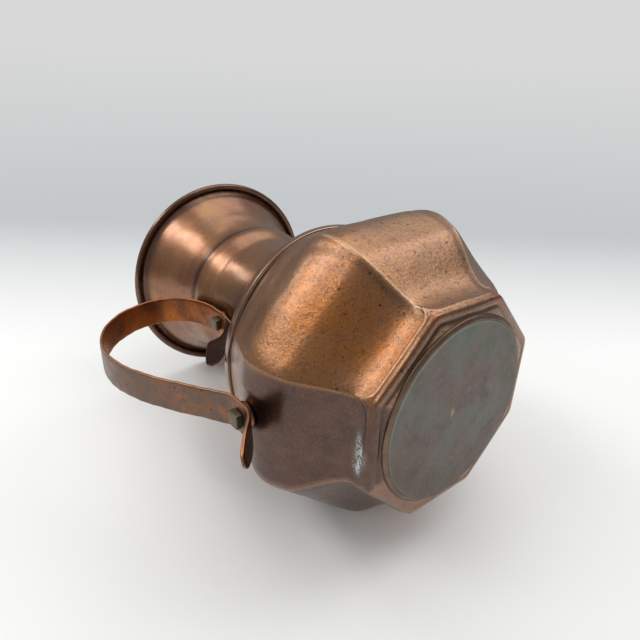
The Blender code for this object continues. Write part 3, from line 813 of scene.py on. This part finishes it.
def body_wear(thing, angles, radius, height):
    """Where the finish changes: golden and dark patina, rubbed ridges, grime, the scuff and the speckle."""
    turn, number = crease_place(angles)
    from_crease = turn * radius
    to_front = angle_between(angles, FRONT)
    to_handle = angle_between(angles, HANDLE_SIDE)
    wall = ease(FOOT_HEIGHT, FOOT_HEIGHT + 2 * MM, height)
    on_panel = wall * ease(BELLY_HEIGHT + 8 * MM, BELLY_HEIGHT - 8 * MM, height)
    amber = hump(to_front, 0.40) * wall * ease(BELLY_HEIGHT + 18 * MM, BELLY_HEIGHT - 16 * MM, height)
    paint(thing, "amber", np.clip(amber, 0, 1))

    # Purple-brown, painted low on the panel under the handle and in a band under the seam. On the panel that
    # lies towards the floor, under the foot and in the crease valleys it is painted shade.
    low_down = ease(SHOULDER_HEIGHT - 4 * MM, BELLY_HEIGHT - 4 * MM, height)
    dark_panel = ease(0.42, 0.34, np.abs(to_handle)) * low_down
    below = ease(0.42, 0.34, np.abs(angle_between(angles, UNDER_SIDE))) * 0.9
    under = 0.40 * (1 - wall)
    valley = 0.42 * hump(from_crease + valley_place(height), 1.8 * MM) * on_panel
    seam_band = 0.35 * ease(SEAM_HEIGHT - 9 * MM, SEAM_HEIGHT - 2 * MM, height)
    paint(thing, "patina_and_shade", np.clip(dark_panel + below * wall + under + valley + seam_band, 0, 1))

    # Lighter crease ridges and lower edges: partly wear, partly painted highlight. They are brightest on the
    # creases and the front that catch the light, and faint on the panel under the handle.
    creased = ease(FOOT_HEIGHT, FLARE_HEIGHT, height) * ease(SHOULDER_HEIGHT, BELLY_HEIGHT + 8 * MM, height)
    ridge = hump(from_crease, 0.7 * MM) * creased * CREASE_WEAR_AND_HIGHLIGHT[number]
    edge = hump(height - lower_edge_height(from_crease), 0.55 * MM) * (0.6 * hump(to_front, 0.5) + 0.1)
    paint(thing, "wear_and_highlight", np.clip((ridge + edge * wall) * (1 - 0.9 * dark_panel), 0, 1))

    foot = body_radius(angles, np.full_like(angles, FOOT_HEIGHT))
    # Dark line in the groove under the foot: partly dirt and partly painted shade, kept to the side around
    # 245 degrees.
    groove_grime_and_shade = hump(foot - radius - FOOT_GROOVE, 0.8 * MM) * (height < FOOT_HEIGHT + 0.5 * MM)
    groove_grime_and_shade = groove_grime_and_shade * hump(angle_between(angles, math.radians(245)), 0.75)
    paint(thing, "groove_grime_and_shade", np.clip(groove_grime_and_shade, 0, 1))
    corner = hump(from_crease, 5 * MM) * hump(foot - radius, 4.0 * MM) * (height < FOOT_HEIGHT + 3 * MM)
    paint(thing, "orange", np.clip(corner, 0, 1))

    # the scuff is worked out in millimetres up and across the panel under the handle
    along = (height - (FOOT_HEIGHT + 5.5 * MM)) / MM
    across = to_handle * radius / MM
    scuff = hump(along - 0.6 * np.sin(across * 0.35), 1.4 + 0.9 * hump(across + 6, 6.0))
    paint(thing, "scuff", scuff * ease(-17, -12, across) * ease(9, -3, across))
    shoulder = ease(SEAM_HEIGHT - 6 * MM, SHOULDER_HEIGHT - 4 * MM, height)
    paint(thing, "speckle", (0.25 + 0.75 * shoulder) * (1 - 0.6 * dark_panel))


class JUG_OT_body(bpy.types.Operator):
    """Hammered eight-sided body: dished panels, ridged creases, rounded belly and turned-in foot"""

    bl_idname = "jug.body"
    bl_label = "Body"

    def execute(self, context):
        angles, radius, height, rows = shaped_body()
        body = grid_object("hammered_body", rows)
        body_wear(body, angles, radius, height)
        body.data.materials.append(finish_of("aged", aged_copper))
        body.data.materials.append(finish_of("inside", inside_copper))
        sheet_thickness(body, 1)
        placed(body, "body_copper", "body_shell")
        return {"FINISHED"}


# ---------------------------------------------------------------- collar

COLLAR_COLUMNS = 288


def lap_radius(height):
    """Outer face of the collar where it laps over the body."""
    plain = SEAM_RADIUS + SEAM_SLOPE * (height - SEAM_HEIGHT)
    return plain + (GAP + SHEET) * math.hypot(1, SEAM_SLOPE)


def neck_line():
    """(height, radius) points up the outer face, from the lap to the top of the flare."""
    lap_top = SEAM_HEIGHT + LAP + 2 * SHEET
    flare_middle = (GROOVE_HEIGHT + FLARE_TOP_HEIGHT) / 2
    return (
        (SEAM_HEIGHT, lap_radius(SEAM_HEIGHT)),
        (lap_top, lap_radius(lap_top)),
        (CONE_HEIGHT, CONE_RADIUS),
        (NECK_FOOT_HEIGHT, NECK_FOOT_RADIUS),
        (NECK_HEIGHT, NECK_RADIUS),
        (WAIST_HEIGHT, WAIST_RADIUS),
        (BULGE_HEIGHT, BULGE_RADIUS),
        (GROOVE_HEIGHT, GROOVE_RADIUS),
        (flare_middle, GROOVE_RADIUS + 0.38 * (FLARE_TOP_RADIUS - GROOVE_RADIUS)),
        (FLARE_TOP_HEIGHT, FLARE_TOP_RADIUS),
    )


def collar_profile():
    """(radius, height) points up the outer face and round the rolled lip."""
    heights = np.concatenate(
        [
            np.linspace(SEAM_HEIGHT, CONE_HEIGHT, 22),
            np.linspace(CONE_HEIGHT, NECK_HEIGHT, 40)[1:],
            np.linspace(NECK_HEIGHT, GROOVE_HEIGHT, 52)[1:],
            np.linspace(GROOVE_HEIGHT, FLARE_TOP_HEIGHT, 34)[1:],
        ]
    )
    radii = cubic(neck_line(), heights) - 0.5 * MM * hump(heights - GROOVE_HEIGHT, 1.6 * MM)
    inside = ROLL_RADIUS - SHEET
    roll_start, roll_turn = math.radians(125), math.radians(290)
    roll = []
    for turn in np.linspace(roll_start, roll_start - roll_turn, 30):
        roll.append((ROLL_MIDDLE[0] + inside * math.cos(turn), ROLL_MIDDLE[1] + inside * math.sin(turn)))
    return np.array(list(zip(radii, heights)) + roll)


def collar_rows():
    """Outer face of the collar, with its dent and the slight waves that spinning leaves."""
    rows = turned_rows(collar_profile(), COLLAR_COLUMNS)
    angle, radius = ring_places(rows)
    height = rows[..., 2]
    free = ease(SEAM_HEIGHT + LAP, SEAM_HEIGHT + 3 * LAP, height)
    free = free * ease(FLARE_TOP_HEIGHT + 2 * MM, FLARE_TOP_HEIGHT - 12 * MM, height)
    soft = (waves(rows, 30 * MM, 11) * 0.16 + waves(rows, 15 * MM, 12) * 0.10) * MM * free
    scale = (radius + top_dent(angle, height) + soft) / radius
    rows[..., :2] *= scale[..., None]
    return rows, angle, height


class JUG_OT_collar(bpy.types.Operator):
    """Spun shoulder, neck and flared mouth in one sheet, with its lip rolled over the rim wire"""

    bl_idname = "jug.collar"
    bl_label = "Collar and rim wire"

    def execute(self, context):
        rows, angle, height = collar_rows()
        collar = grid_object("spun_collar", rows)
        # Painted shade: darker in the groove under the flare, and over the top of the flare and the rolled
        # lip, which lie in the lip's shade. Darker also near the handle.
        dark = 0.9 * hump(height - GROOVE_HEIGHT, 2.2 * MM)
        near_handle = ease(0.9, 0.3, np.abs(angle_between(angle, HANDLE_SIDE)))
        dark = dark + 0.5 * near_handle * ease(NECK_HEIGHT + 20 * MM, NECK_HEIGHT - 20 * MM, height)
        dark = dark + 0.85 * ease(FLARE_TOP_HEIGHT - 4 * MM, FLARE_TOP_HEIGHT, height)
        paint(collar, "patina_and_shade", np.clip(dark, 0, 1))
        # painted highlight along the lap edge
        paint(collar, "wear_and_highlight", 0.25 * hump(height - SEAM_HEIGHT, 0.5 * MM))
        collar.data.materials.append(finish_of("spun", spun_copper))
        collar.data.materials.append(finish_of("inside", inside_copper))
        sheet_thickness(collar, 0)
        placed(collar, "neck_copper", "neck_collar")

        centre = (ROLL_MIDDLE[0], (WIRE_LOW.z + WIRE_HIGH.z) / 2)
        section = ring_section(centre, WIRE_RADIUS, WIRE_RADIUS, 14)
        wire = grid_object("rolled_in_wire", turned_rows(section, 192), along=True)
        # painted shade: the wire lies inside the rolled lip
        paint(wire, "patina_and_shade", np.full(len(wire.data.vertices), 0.7))
        paint(wire, "wear_and_highlight", np.zeros(len(wire.data.vertices)))
        wire.data.materials.append(finish_of("spun", spun_copper))
        placed(wire, "wire_copper", "rim_wire")
        return {"FINISHED"}


# ---------------------------------------------------------------- base and solder


class JUG_OT_base(bpy.types.Operator):
    """Base disc, a little uneven, with an eased edge, marks of wear and a painted highlight along its edge"""

    bl_idname = "jug.base"
    bl_label = "Base disc"

    def execute(self, context):
        edge = 0.35 * MM
        rim = PLATE_RADIUS - edge
        top = PLATE_THICKNESS - edge
        inner = np.linspace(0.6 * MM, rim, 60)
        corner = np.linspace(0, math.pi / 2, 6)
        profile = [(radius, 0.0) for radius in inner]
        profile += [(rim + edge * math.sin(turn), edge - edge * math.cos(turn)) for turn in corner[1:]]
        profile += [(rim + edge * math.cos(turn), top + edge * math.sin(turn)) for turn in corner]
        profile += [(radius, PLATE_THICKNESS) for radius in inner[::-1]]
        rows = turned_rows(profile, 224)
        angle, radius = ring_places(rows)
        free = ease(PLATE_RADIUS - 2 * MM, PLATE_RADIUS - 12 * MM, radius)
        unevenness = waves(rows * (1, 1, 0), 22 * MM, 21)
        rows[..., 2] += (0.16 * MM + 0.08 * MM * unevenness) * free
        plate = grid_object("base_disc", rows, caps=True)

        greenest = hump(angle_between(angle, math.radians(-80)), 0.55)
        green = hump(angle_between(angle, math.radians(-20)), 0.5) * 0.6
        paint(plate, "verdigris", np.maximum(greenest, green) * ease(20 * MM, 34 * MM, radius))
        fleck_x, fleck_y = -4.5 * MM, -1.5 * MM
        fleck = hump(rows[..., 0] - fleck_x, 0.9 * MM) * hump(rows[..., 1] - fleck_y, 2.0 * MM)
        paint(plate, "fleck", fleck)
        # painted highlight along the disc's edge, brightest on the side towards the light
        lit = 0.25 + 0.75 * hump(angle_between(angle, math.radians(232)), 0.8)
        paint(plate, "wear_and_highlight", 0.6 * lit * hump(radius - (PLATE_RADIUS - 0.3 * MM), 0.5 * MM))
        brown = hump(angle_between(angle, math.radians(120)), 0.9)
        paint(plate, "brown", brown * ease(12 * MM, 40 * MM, radius))
        plate.data.materials.append(finish_of("base", oxidised_base))
        placed(plate, "base_copper", "base_plate")
        return {"FINISHED"}


class JUG_OT_solder(bpy.types.Operator):
    """Thin uneven runs of solder round the base disc and under the shoulder's lap"""

    bl_idname = "jug.solder"
    bl_label = "Solder seams"

    def execute(self, context):
        seat = PLATE_THICKNESS + GAP
        edge = PLATE_RADIUS + 0.06 * MM
        fillet = [
            (edge, 0.12 * MM),
            (edge + 0.7 * MM, 0.38 * MM),
            (edge + 1.5 * MM, 0.98 * MM),
            (edge + 2.4 * MM, seat + 0.12 * MM),
            (edge + 1.2 * MM, seat - 0.1 * MM),
            (edge, seat - 0.1 * MM),
        ]
        rows = turned_rows(fillet, 384)
        rows[..., 2] += 0.07 * MM * waves(rows, 9 * MM, 31)
        base_run = grid_object("base_solder_run", rows, along=True)

        low, high = SHOULDER_SEAM
        centre = (high.x - 1.0 * MM, (low.z + high.z) / 2)
        rows = turned_rows(ring_section(centre, 0.45 * MM, 0.40 * MM, 12), 384)
        middle = rows.mean(axis=0, keepdims=True)
        rows = middle + (rows - middle) * (1.0 + 0.2 * waves(middle, 14 * MM, 32))[..., None]
        angle, radius = ring_places(rows)
        rows[..., :2] *= ((radius + top_dent(angle, rows[..., 2])) / radius)[..., None]
        shoulder_run = grid_object("shoulder_solder_run", rows, along=True)
        for run, node in ((base_run, "base_solder_seam"), (shoulder_run, "shoulder_solder_seam")):
            run.data.materials.append(finish_of("solder", tin_solder))
            placed(run, "solder", node)
        return {"FINISHED"}


# ---------------------------------------------------------------- strap


def bezier(p0, p1, p2, p3, count):
    """Points along a cubic curve, without its last."""
    t = np.linspace(0, 1, count, endpoint=False)[:, None]
    s = 1 - t
    return p0 * s**3 + p1 * 3 * s * s * t + p2 * 3 * s * t * t + p3 * t**3


def seat_reach(spacer):
    """How far the strap's middle stands from the jug's axis on a spacer."""
    return -spacer[0].x + GAP + STRAP_THICKNESS / 2


def strap_path():
    """(reach, height) points from the upper tail's tip, over the top and down to the lower tail's tip."""

    def point(reach, height):
        return np.array([reach, height])

    half = SEAT_LENGTH / 2
    soft = TAIL_BEND / 2
    up, down = point(0, 1), point(0, -1)
    away = point(math.sin(TAIL_ANGLE), -math.cos(TAIL_ANGLE))
    upper = point(seat_reach(UPPER_SPACER), NECK_HEIGHT)
    lower = point(seat_reach(LOWER_SPACER), BELLY_HEIGHT)
    upper_turn = upper + down * (half + TAIL_BEND) + away * TAIL_BEND
    lower_turn = lower + down * (half + TAIL_BEND) + away * TAIL_BEND
    upper_tip = upper_turn + away * (UPPER_TAIL_LENGTH - half - 2 * TAIL_BEND)
    lower_tip = lower_turn + away * (LOWER_TAIL_LENGTH - half - 2 * TAIL_BEND)
    top, out = point(*HANDLE_TOP), point(*HANDLE_OUTERMOST)
    seat_top = upper + up * half
    rise = top[1] - seat_top[1]
    across, drop = point(out[0] - top[0], 0), point(0, top[1] - out[1])
    run_end = lower + point(LOWER_RUN[0], half + LOWER_RUN[1])
    run_way = point(math.sin(LOWER_RUN_ANGLE), math.cos(LOWER_RUN_ANGLE))
    fall = out[1] - run_end[1]
    low_top = lower + up * half
    run_soft = LOWER_RUN[1] / 2
    share = np.linspace(0, 1, 30, endpoint=False)[:, None]
    stretches = [
        upper_tip + (upper_turn - upper_tip) * share,
        bezier(upper_turn, upper_turn - away * soft, upper + down * (half + soft), upper + down * half, 16),
        bezier(upper + down * half, upper, upper, seat_top, 10),
        bezier(seat_top, seat_top + up * rise / 2, top - point(rise * 0.55, 0), top, 44),
        bezier(top, top + across * 0.5, out + drop * 0.55, out, 54),
        bezier(out, out + down * fall * 0.42, run_end + run_way * fall * 0.25, run_end, 48),
        bezier(run_end, run_end - run_way * run_soft, low_top + up * run_soft, low_top, 16),
        bezier(low_top, lower, lower, lower + down * half, 10),
        bezier(lower + down * half, lower + down * (half + soft), lower_turn - away * soft, lower_turn, 16),
        lower_turn + (lower_tip - lower_turn) * np.linspace(0, 1, 24)[:, None],
    ]
    return np.concatenate(stretches)


def tail_width(from_tip, length, full):
    """Width of the strap at a distance from the tip of a tail of a length."""
    share = np.minimum(1.0, from_tip / (0.62 * length))
    return TAIL_TIP_WIDTH + (full - TAIL_TIP_WIDTH) * np.sin(share * math.pi / 2) ** 0.9


def strap_widths(from_start, from_end, full):
    """Width all along the strap: full over the handle, tapered tails and rounded tips."""
    upper = tail_width(from_start, UPPER_TAIL_LENGTH, full)
    width = np.minimum(upper, tail_width(from_end, LOWER_TAIL_LENGTH, full))
    for distance in (from_start, from_end):
        share = np.clip(distance / (2.2 * MM), 0, 1)
        width = width * np.where(share < 1, 0.35 + 0.65 * np.sqrt(1 - (1 - share) ** 2), 1)
    return width


def strap_rows(full):
    """Rows of points along the strap, their distances from both tips, and the section they share."""
    path = strap_path()
    step = np.linalg.norm(np.diff(path, axis=0), axis=1)
    length = np.concatenate([[0], np.cumsum(step)])
    even = np.linspace(0, length[-1], 300)
    path = np.stack([np.interp(even, length, path[:, k]) for k in (0, 1)], axis=-1)
    ahead = np.gradient(path, axis=0)
    ahead /= np.linalg.norm(ahead, axis=1, keepdims=True)
    from_start, from_end = even, even[-1] - even
    width = strap_widths(from_start, from_end, full)
    width = width * (1 + 0.015 * np.sin(even / MM * 0.31) + 0.01 * np.sin(even / MM * 0.83 + 1.0))
    thickness = STRAP_THICKNESS * np.minimum(1.0, 0.55 + np.minimum(from_start, from_end) / (6 * MM))
    lower_loose = np.maximum(0.0, 1 - from_end / (LOWER_TAIL_LENGTH - SEAT_LENGTH))
    upper_loose = ease(UPPER_TAIL_LENGTH - SEAT_LENGTH, UPPER_TAIL_LENGTH - 26 * MM, from_start)
    turned = LOWER_TAIL_TURN * lower_loose + UPPER_TAIL_TURN * upper_loose
    turn = np.linspace(0, math.tau, 41)[:-1]
    squared = np.sign(np.cos(turn)) * np.abs(np.cos(turn)) ** 0.22
    crowned = np.sign(np.sin(turn)) * np.abs(np.sin(turn)) ** 0.6
    rows = []
    for i in range(len(path)):
        along = Vector((-ahead[i, 0], 0, ahead[i, 1]))
        across = Vector((0, 1, 0))
        spin = Matrix.Rotation(turned[i], 3, along)
        side, out = np.array(spin @ across), np.array(spin @ along.cross(across))
        middle = np.array([-path[i, 0], 0.0, path[i, 1]])
        beside = side * (width[i] / 2 * squared)[:, None]
        rows.append(middle + beside + out * (thickness[i] / 2 * crowned)[:, None])
    return np.array(rows), from_start, from_end, squared, crowned


class JUG_OT_strap(bpy.types.Operator):
    """Handle strap with rounded worn edges and flicked-out tapered tails"""

    bl_idname = "jug.strap"
    bl_label = "Handle strap"

    def execute(self, context):
        rows, from_start, from_end, squared, crowned = strap_rows(context.scene.jug_shape.strap_width)
        strap = grid_object("strap_handle", rows, caps=True)
        bm = bmesh.new()
        bm.from_mesh(strap.data)
        bmesh.ops.recalc_face_normals(bm, faces=bm.faces[:])
        bm.to_mesh(strap.data)
        bm.free()
        shape = rows.shape[:2]
        paint(strap, "wear_and_highlight", np.broadcast_to(np.abs(squared) > 0.97, shape))
        paint(strap, "outer", np.broadcast_to(crowned < 0, shape))
        # painted shade: both tails, which lie in shade, are darkened towards their tips
        tail_shade = ease(46 * MM, 36 * MM, from_start) + 0.75 * ease(30 * MM, 22 * MM, from_end)
        paint(strap, "patina_and_shade", np.broadcast_to(np.clip(tail_shade, 0, 1)[:, None], shape))
        strap.data.materials.append(finish_of("strap", strap_copper))
        placed(strap, "strap_copper", "handle_strap")
        return {"FINISHED"}


# ---------------------------------------------------------------- fasteners

SHARP_ANGLE = math.radians(50)


def along_x(thing, reach, height):
    """Lays a piece built along +Z on its side, so that its +Z points out of the jug along -X."""
    place = Matrix.Translation((-reach, 0, height)) @ Matrix.Rotation(-math.pi / 2, 4, "Y")
    thing.data.transform(place)


def square_head(name, across, height, crown):
    """Filed square head with rounded corners, eased edges and a slightly crowned face."""
    sides = 64
    turn = np.arange(sides) * math.tau / sides + math.pi / sides
    squareness = 9.0
    outline = np.abs(np.cos(turn)) ** squareness + np.abs(np.sin(turn)) ** squareness
    outline = outline ** (-1 / squareness)
    half = across / 2
    eased = 0.55 * MM
    levels = [(0.15, 0.0), (0.6, 0.0), (0.94, 0.0), (1.0, 0.06), (1.0, 0.3), (1.0, 0.6)]
    for t in np.linspace(0, math.pi / 2, 6):
        levels.append((1.0 - eased / half * (1 - math.cos(t)), 1.0 - eased / height * (1 - math.sin(t))))
    levels += [(share, 1.0) for share in (0.75, 0.5, 0.25, 0.05)]
    rows = []
    for scale, level in levels:
        lift = crown * (1 - scale**2) if level > 0.99 else 0.0
        rows.append(circled(turn, half * scale * outline, height * level + lift))
    return grid_object(name, rows, caps=True)


def threaded_shank(name, radius, length):
    """Shank with a rolled thread over its inner end. It runs from 0 down to -length along Z."""
    sides, pitch, depth = 28, 0.7 * MM, 0.22 * MM
    turn = np.arange(sides) * math.tau / sides
    count = int(length / (pitch / 8))
    rows = []
    for i in range(count + 1):
        height = -length + length * i / count
        wave = (height / pitch - turn / math.tau) % 1.0
        cut = depth * (1 - np.abs(2 * wave - 1)) * ease(-length * 0.3, -length * 0.5, height)
        cut = cut + 0.25 * MM * ease(-length + 0.8 * MM, -length, height)
        rows.append(circled(turn, radius - cut, height))
    into_head = np.array([0, 0, 1.0 * MM])
    rows.append(rows[-1] * (1, 1, 0) + into_head)
    return grid_object(name, rows, caps=True)


def joined(first, second):
    """One closed mesh from two that overlap."""
    union = first.modifiers.new("shank", "BOOLEAN")
    union.operation = "UNION"
    union.solver = "EXACT"
    union.object = second
    evaluated = first.evaluated_get(bpy.context.evaluated_depsgraph_get())
    mesh = bpy.data.meshes.new_from_object(evaluated)
    first.modifiers.clear()
    first.data = mesh
    bpy.data.objects.remove(second)
    return first


def build_bolt(end, box, finish):
    """Square-headed bolt through the strap, its spacer and the wall."""
    low, high = box
    head_reach = -low.x - HEAD_HEIGHT
    head = square_head(end + "_square_bolt", high.y - low.y, HEAD_HEIGHT - HEAD_CROWN, HEAD_CROWN)
    bolt = joined(head, threaded_shank(end + "_shank", SHANK_RADIUS, head_reach + high.x))
    bolt.data.shade_smooth()
    bolt.data.set_sharp_from_angle(angle=SHARP_ANGLE)
    along_x(bolt, head_reach, (low.z + high.z) / 2)
    bolt.data.materials.append(finish)
    placed(bolt, "bolt_metal", end + "_bolt")


def build_spacer(end, box, height, finish):
    """Round distance ring between the wall and the strap, with rounded edges."""
    low, high = box
    outer, thick = (high.y - low.y) / 2, high.x - low.x
    halfway = (BORE_RADIUS + outer) / 2
    corner = 0.45 * MM
    rim, top = outer - corner, thick - corner
    arc = np.linspace(0, math.pi / 2, 5)
    profile = [(BORE_RADIUS, 0.0), (halfway, 0.0)]
    profile += [(rim + corner * math.sin(turn), corner - corner * math.cos(turn)) for turn in arc]
    profile += [(rim + corner * math.cos(turn), top + corner * math.sin(turn)) for turn in arc]
    profile += [(halfway, thick), (BORE_RADIUS, thick)]
    ring = grid_object(end + "_spacer_ring", turned_rows(profile, 72), along=True)
    ring.data.set_sharp_from_angle(angle=SHARP_ANGLE)
    along_x(ring, -high.x, height)
    ring.data.materials.append(finish)
    placed(ring, "washer_copper", end + "_spacer")


class JUG_OT_fasteners(bpy.types.Operator):
    """Square-headed bolts and spacers outside, and the finish of the nuts and washers inside"""

    bl_idname = "jug.fasteners"
    bl_label = "Fasteners"

    def execute(self, context):
        bolt_finish = finish_of("bolt", lambda: tarnished_brass("tarnished brass bolt", "6E664F"))
        nut_finish = finish_of("nut", lambda: tarnished_brass("tarnished brass nut", "948764"))
        copper = finish_of("stamped", stamped_copper)
        for end, bolt, spacer, height in (
            ("upper", UPPER_BOLT, UPPER_SPACER, NECK_HEIGHT),
            ("lower", LOWER_BOLT, LOWER_SPACER, BELLY_HEIGHT),
        ):
            build_bolt(end, bolt, bolt_finish)
            build_spacer(end, spacer, height, copper)
            for part, finish in (("_nut", nut_finish), ("_washer", copper)):
                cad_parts[end + part].material_slots[0].material = finish
        return {"FINISHED"}


# ---------------------------------------------------------------- studio

LIT_POINT = Vector((0, 0, 0.1))
FADE_WAY = Vector((0.52, 0, 0.854))  # way in which the floor fades out behind the jug
DAYLIGHT = (1.0, 0.99, 0.97)


def one_sided(name, colour, fade):
    """Matt paper that shows only from its front, and fades out as fade says, given tree and place."""
    material = bpy.data.materials.new(name)
    material.use_nodes = True
    tree = material.node_tree
    tree.nodes.clear()
    place = add_node(tree, "ShaderNodeTexCoord").outputs["Object"]
    paper = add_node(tree, "ShaderNodeBsdfDiffuse", {"Color": colour}).outputs[0]
    clear = add_node(tree, "ShaderNodeBsdfTransparent").outputs[0]
    back = add_node(tree, "ShaderNodeNewGeometry").outputs["Backfacing"]
    shown = cover(tree, back, least=1.0, most=0.0, within=[fade(tree, place)])
    mix = add_node(tree, "ShaderNodeMixShader", {0: shown, 1: clear, 2: paper})
    add_node(tree, "ShaderNodeOutputMaterial", {0: mix.outputs[0]})
    return material


def fade_past(distance, width):
    """Full near the object's own place and clear past a distance along the floor's own +Y."""

    def make(tree, place):
        split = add_node(tree, "ShaderNodeSeparateXYZ", {"Vector": place})
        return cover(tree, split.outputs["Y"], distance, distance + width, 1.0, 0.0)

    return make


def fade_round(distance, width):
    """Full near the object's own place and clear past a distance all round."""

    def make(tree, place):
        away = add_node(tree, "ShaderNodeVectorMath", {0: place}, operation="LENGTH")
        return cover(tree, away.outputs["Value"], distance, distance + width, 1.0, 0.0)

    return make


def flat_floor(name, matrix, size, material):
    """Flat sheet of a half width in its matrix, facing its +Z."""
    rows = np.linspace(-size, size, 9)
    points = np.stack(np.meshgrid(rows, rows, indexing="xy") + [np.zeros((9, 9))], axis=-1)
    floor = grid_object(name, points, around=False)
    floor.matrix_world = matrix
    floor.data.materials.append(material)
    return floor


def area_light(name, towards, distance, size, power, colour=(1.0, 1.0, 1.0)):
    """Soft oblong light that looks at the jug's middle from a direction."""
    light = bpy.data.lights.new(name, "AREA")
    light.shape = "RECTANGLE"
    light.size, light.size_y = size
    light.energy = power
    light.color = colour
    lamp = bpy.data.objects.new(name, light)
    way = Vector(towards).normalized()
    lamp.location = LIT_POINT + way * distance
    lamp.rotation_euler = way.to_track_quat("Z", "Y").to_euler()
    bpy.context.scene.collection.objects.link(lamp)


def pale_world():
    """Plain pale surround. What the metal mirrors is dimmer under the jug and past both its ends."""
    world = bpy.data.worlds.new("studio surround")
    world.use_nodes = True
    tree = world.node_tree
    tree.nodes.clear()
    way = add_node(tree, "ShaderNodeTexCoord").outputs["Generated"]
    parts = add_node(tree, "ShaderNodeSeparateXYZ", {"Vector": way}).outputs
    path = add_node(tree, "ShaderNodeLightPath").outputs
    wall = layered(tree, srgb("D8D8D8"), (cover(tree, parts["Y"], -0.06, 0.19), srgb("C4C8CA")))
    colour = layered(
        tree,
        srgb("5E5C5A"),
        (cover(tree, parts["Y"], 0.5, -1.0), srgb("D4D4D2")),
        (cover(tree, parts["Z"], 0.2, 1.0, 0.0, 0.65), srgb("7A7A7A")),
        (cover(tree, parts["Z"], -0.15, -0.75, 0.0, 0.6), srgb("4E4C4A")),
        (path["Is Diffuse Ray"], srgb("D2D3D4")),
        (path["Is Camera Ray"], wall),
    )
    background = add_node(tree, "ShaderNodeBackground", {"Color": colour})
    add_node(tree, "ShaderNodeOutputWorld", {0: background.outputs[0]})
    bpy.context.scene.world = world


def leaning_floor():
    """Place of a floor that the lying jug would touch with its belly and its mouth, on its +Y side."""
    belly = Vector((0, BELLY_FLAT + FLOOR_GAP, BELLY_HEIGHT))
    mouth = Vector((0, MOUTH_RADIUS + FLOOR_GAP, ROLL_MIDDLE[1]))
    lean = math.atan2(belly.y - mouth.y, mouth.z - belly.z)
    normal = Vector((0, -math.cos(lean), -math.sin(lean)))
    away = FADE_WAY - normal * FADE_WAY.dot(normal)
    away.normalize()
    turn = Matrix((away.cross(normal), away, normal)).transposed().to_4x4()
    return Matrix.Translation(belly) @ turn


class JUG_OT_studio(bpy.types.Operator):
    """Pale floor that the lying jug touches, a floor under its base, soft lights and the camera"""

    bl_idname = "jug.studio"
    bl_label = "Studio"

    def execute(self, context):
        studio = context.scene.jug_studio
        pale_world()
        paper = one_sided("matt paper floor", srgb("F2F2F1"), fade_past(0.15, 0.36))
        flat_floor("floor", leaning_floor(), 1.6, paper)
        under = one_sided("matt paper under base", srgb("F2F2F1"), fade_round(0.35, 0.6))
        stand = flat_floor("floor_under_base", Matrix.Translation((0, 0, -0.2 * MM)), 1.2, under)
        stand.visible_shadow = False
        stand.visible_glossy = False
        stand.visible_diffuse = False
        stand.visible_transmission = False

        window, far_window = studio.window_power, studio.window_power * 0.45
        area_light("window", (-0.62, -0.76, 0.20), 1.3, (0.34, 0.60), window, DAYLIGHT)
        area_light("far window", (-0.39, -0.55, 0.74), 1.3, (0.22, 0.60), far_window, DAYLIGHT)
        area_light("card", (0.55, -0.79, -0.27), 1.0, (0.42, 0.42), studio.card_power, (1.0, 0.99, 0.98))
        area_light("overhead", (0.3, -1.0, 0.05), 2.0, (1.8, 1.8), studio.overhead_power)

        camera = bpy.data.objects.new("camera", bpy.data.cameras.new("camera"))
        camera.data.lens = studio.lens
        camera.data.clip_start = 0.01
        camera.location = studio.camera_place
        camera.rotation_euler = Euler(studio.camera_turn)
        context.scene.collection.objects.link(camera)
        context.scene.camera = camera
        context.scene.view_settings.view_transform = "Standard"
        return {"FINISHED"}


class JUG_PT_panel(bpy.types.Panel):
    """Lists the jug's pieces"""

    bl_idname = "JUG_PT_panel"
    bl_label = "Copper water jug"
    bl_space_type = "VIEW_3D"
    bl_region_type = "UI"
    bl_category = "Jug"

    def draw(self, context):
        for operator in OPERATORS:
            self.layout.operator(operator.bl_idname)
        for group in (context.scene.jug_shape, context.scene.jug_finish, context.scene.jug_studio):
            for name in group.bl_rna.properties.keys():
                if name not in ("name", "rna_type"):
                    self.layout.prop(group, name)


OPERATORS = (
    JUG_OT_studio,
    JUG_OT_body,
    JUG_OT_collar,
    JUG_OT_base,
    JUG_OT_solder,
    JUG_OT_strap,
    JUG_OT_fasteners,
)
GROUPS = {"jug_shape": JugShape, "jug_finish": JugFinish, "jug_studio": JugStudio}


def register():
    for group in GROUPS.values():
        bpy.utils.register_class(group)
    for name, group in GROUPS.items():
        setattr(bpy.types.Scene, name, bpy.props.PointerProperty(type=group))
    for operator in OPERATORS:
        bpy.utils.register_class(operator)
    bpy.utils.register_class(JUG_PT_panel)


def unregister():
    bpy.utils.unregister_class(JUG_PT_panel)
    for operator in reversed(OPERATORS):
        bpy.utils.unregister_class(operator)
    for name, group in GROUPS.items():
        delattr(bpy.types.Scene, name)
        bpy.utils.unregister_class(group)


def main():
    register()
    bpy.ops.jug.studio()
    bpy.ops.jug.body()
    bpy.ops.jug.collar()
    bpy.ops.jug.base()
    bpy.ops.jug.solder()
    bpy.ops.jug.strap()
    bpy.ops.jug.fasteners()
    bpy.context.view_layer.update()


if __name__ == "__main__":
    main()
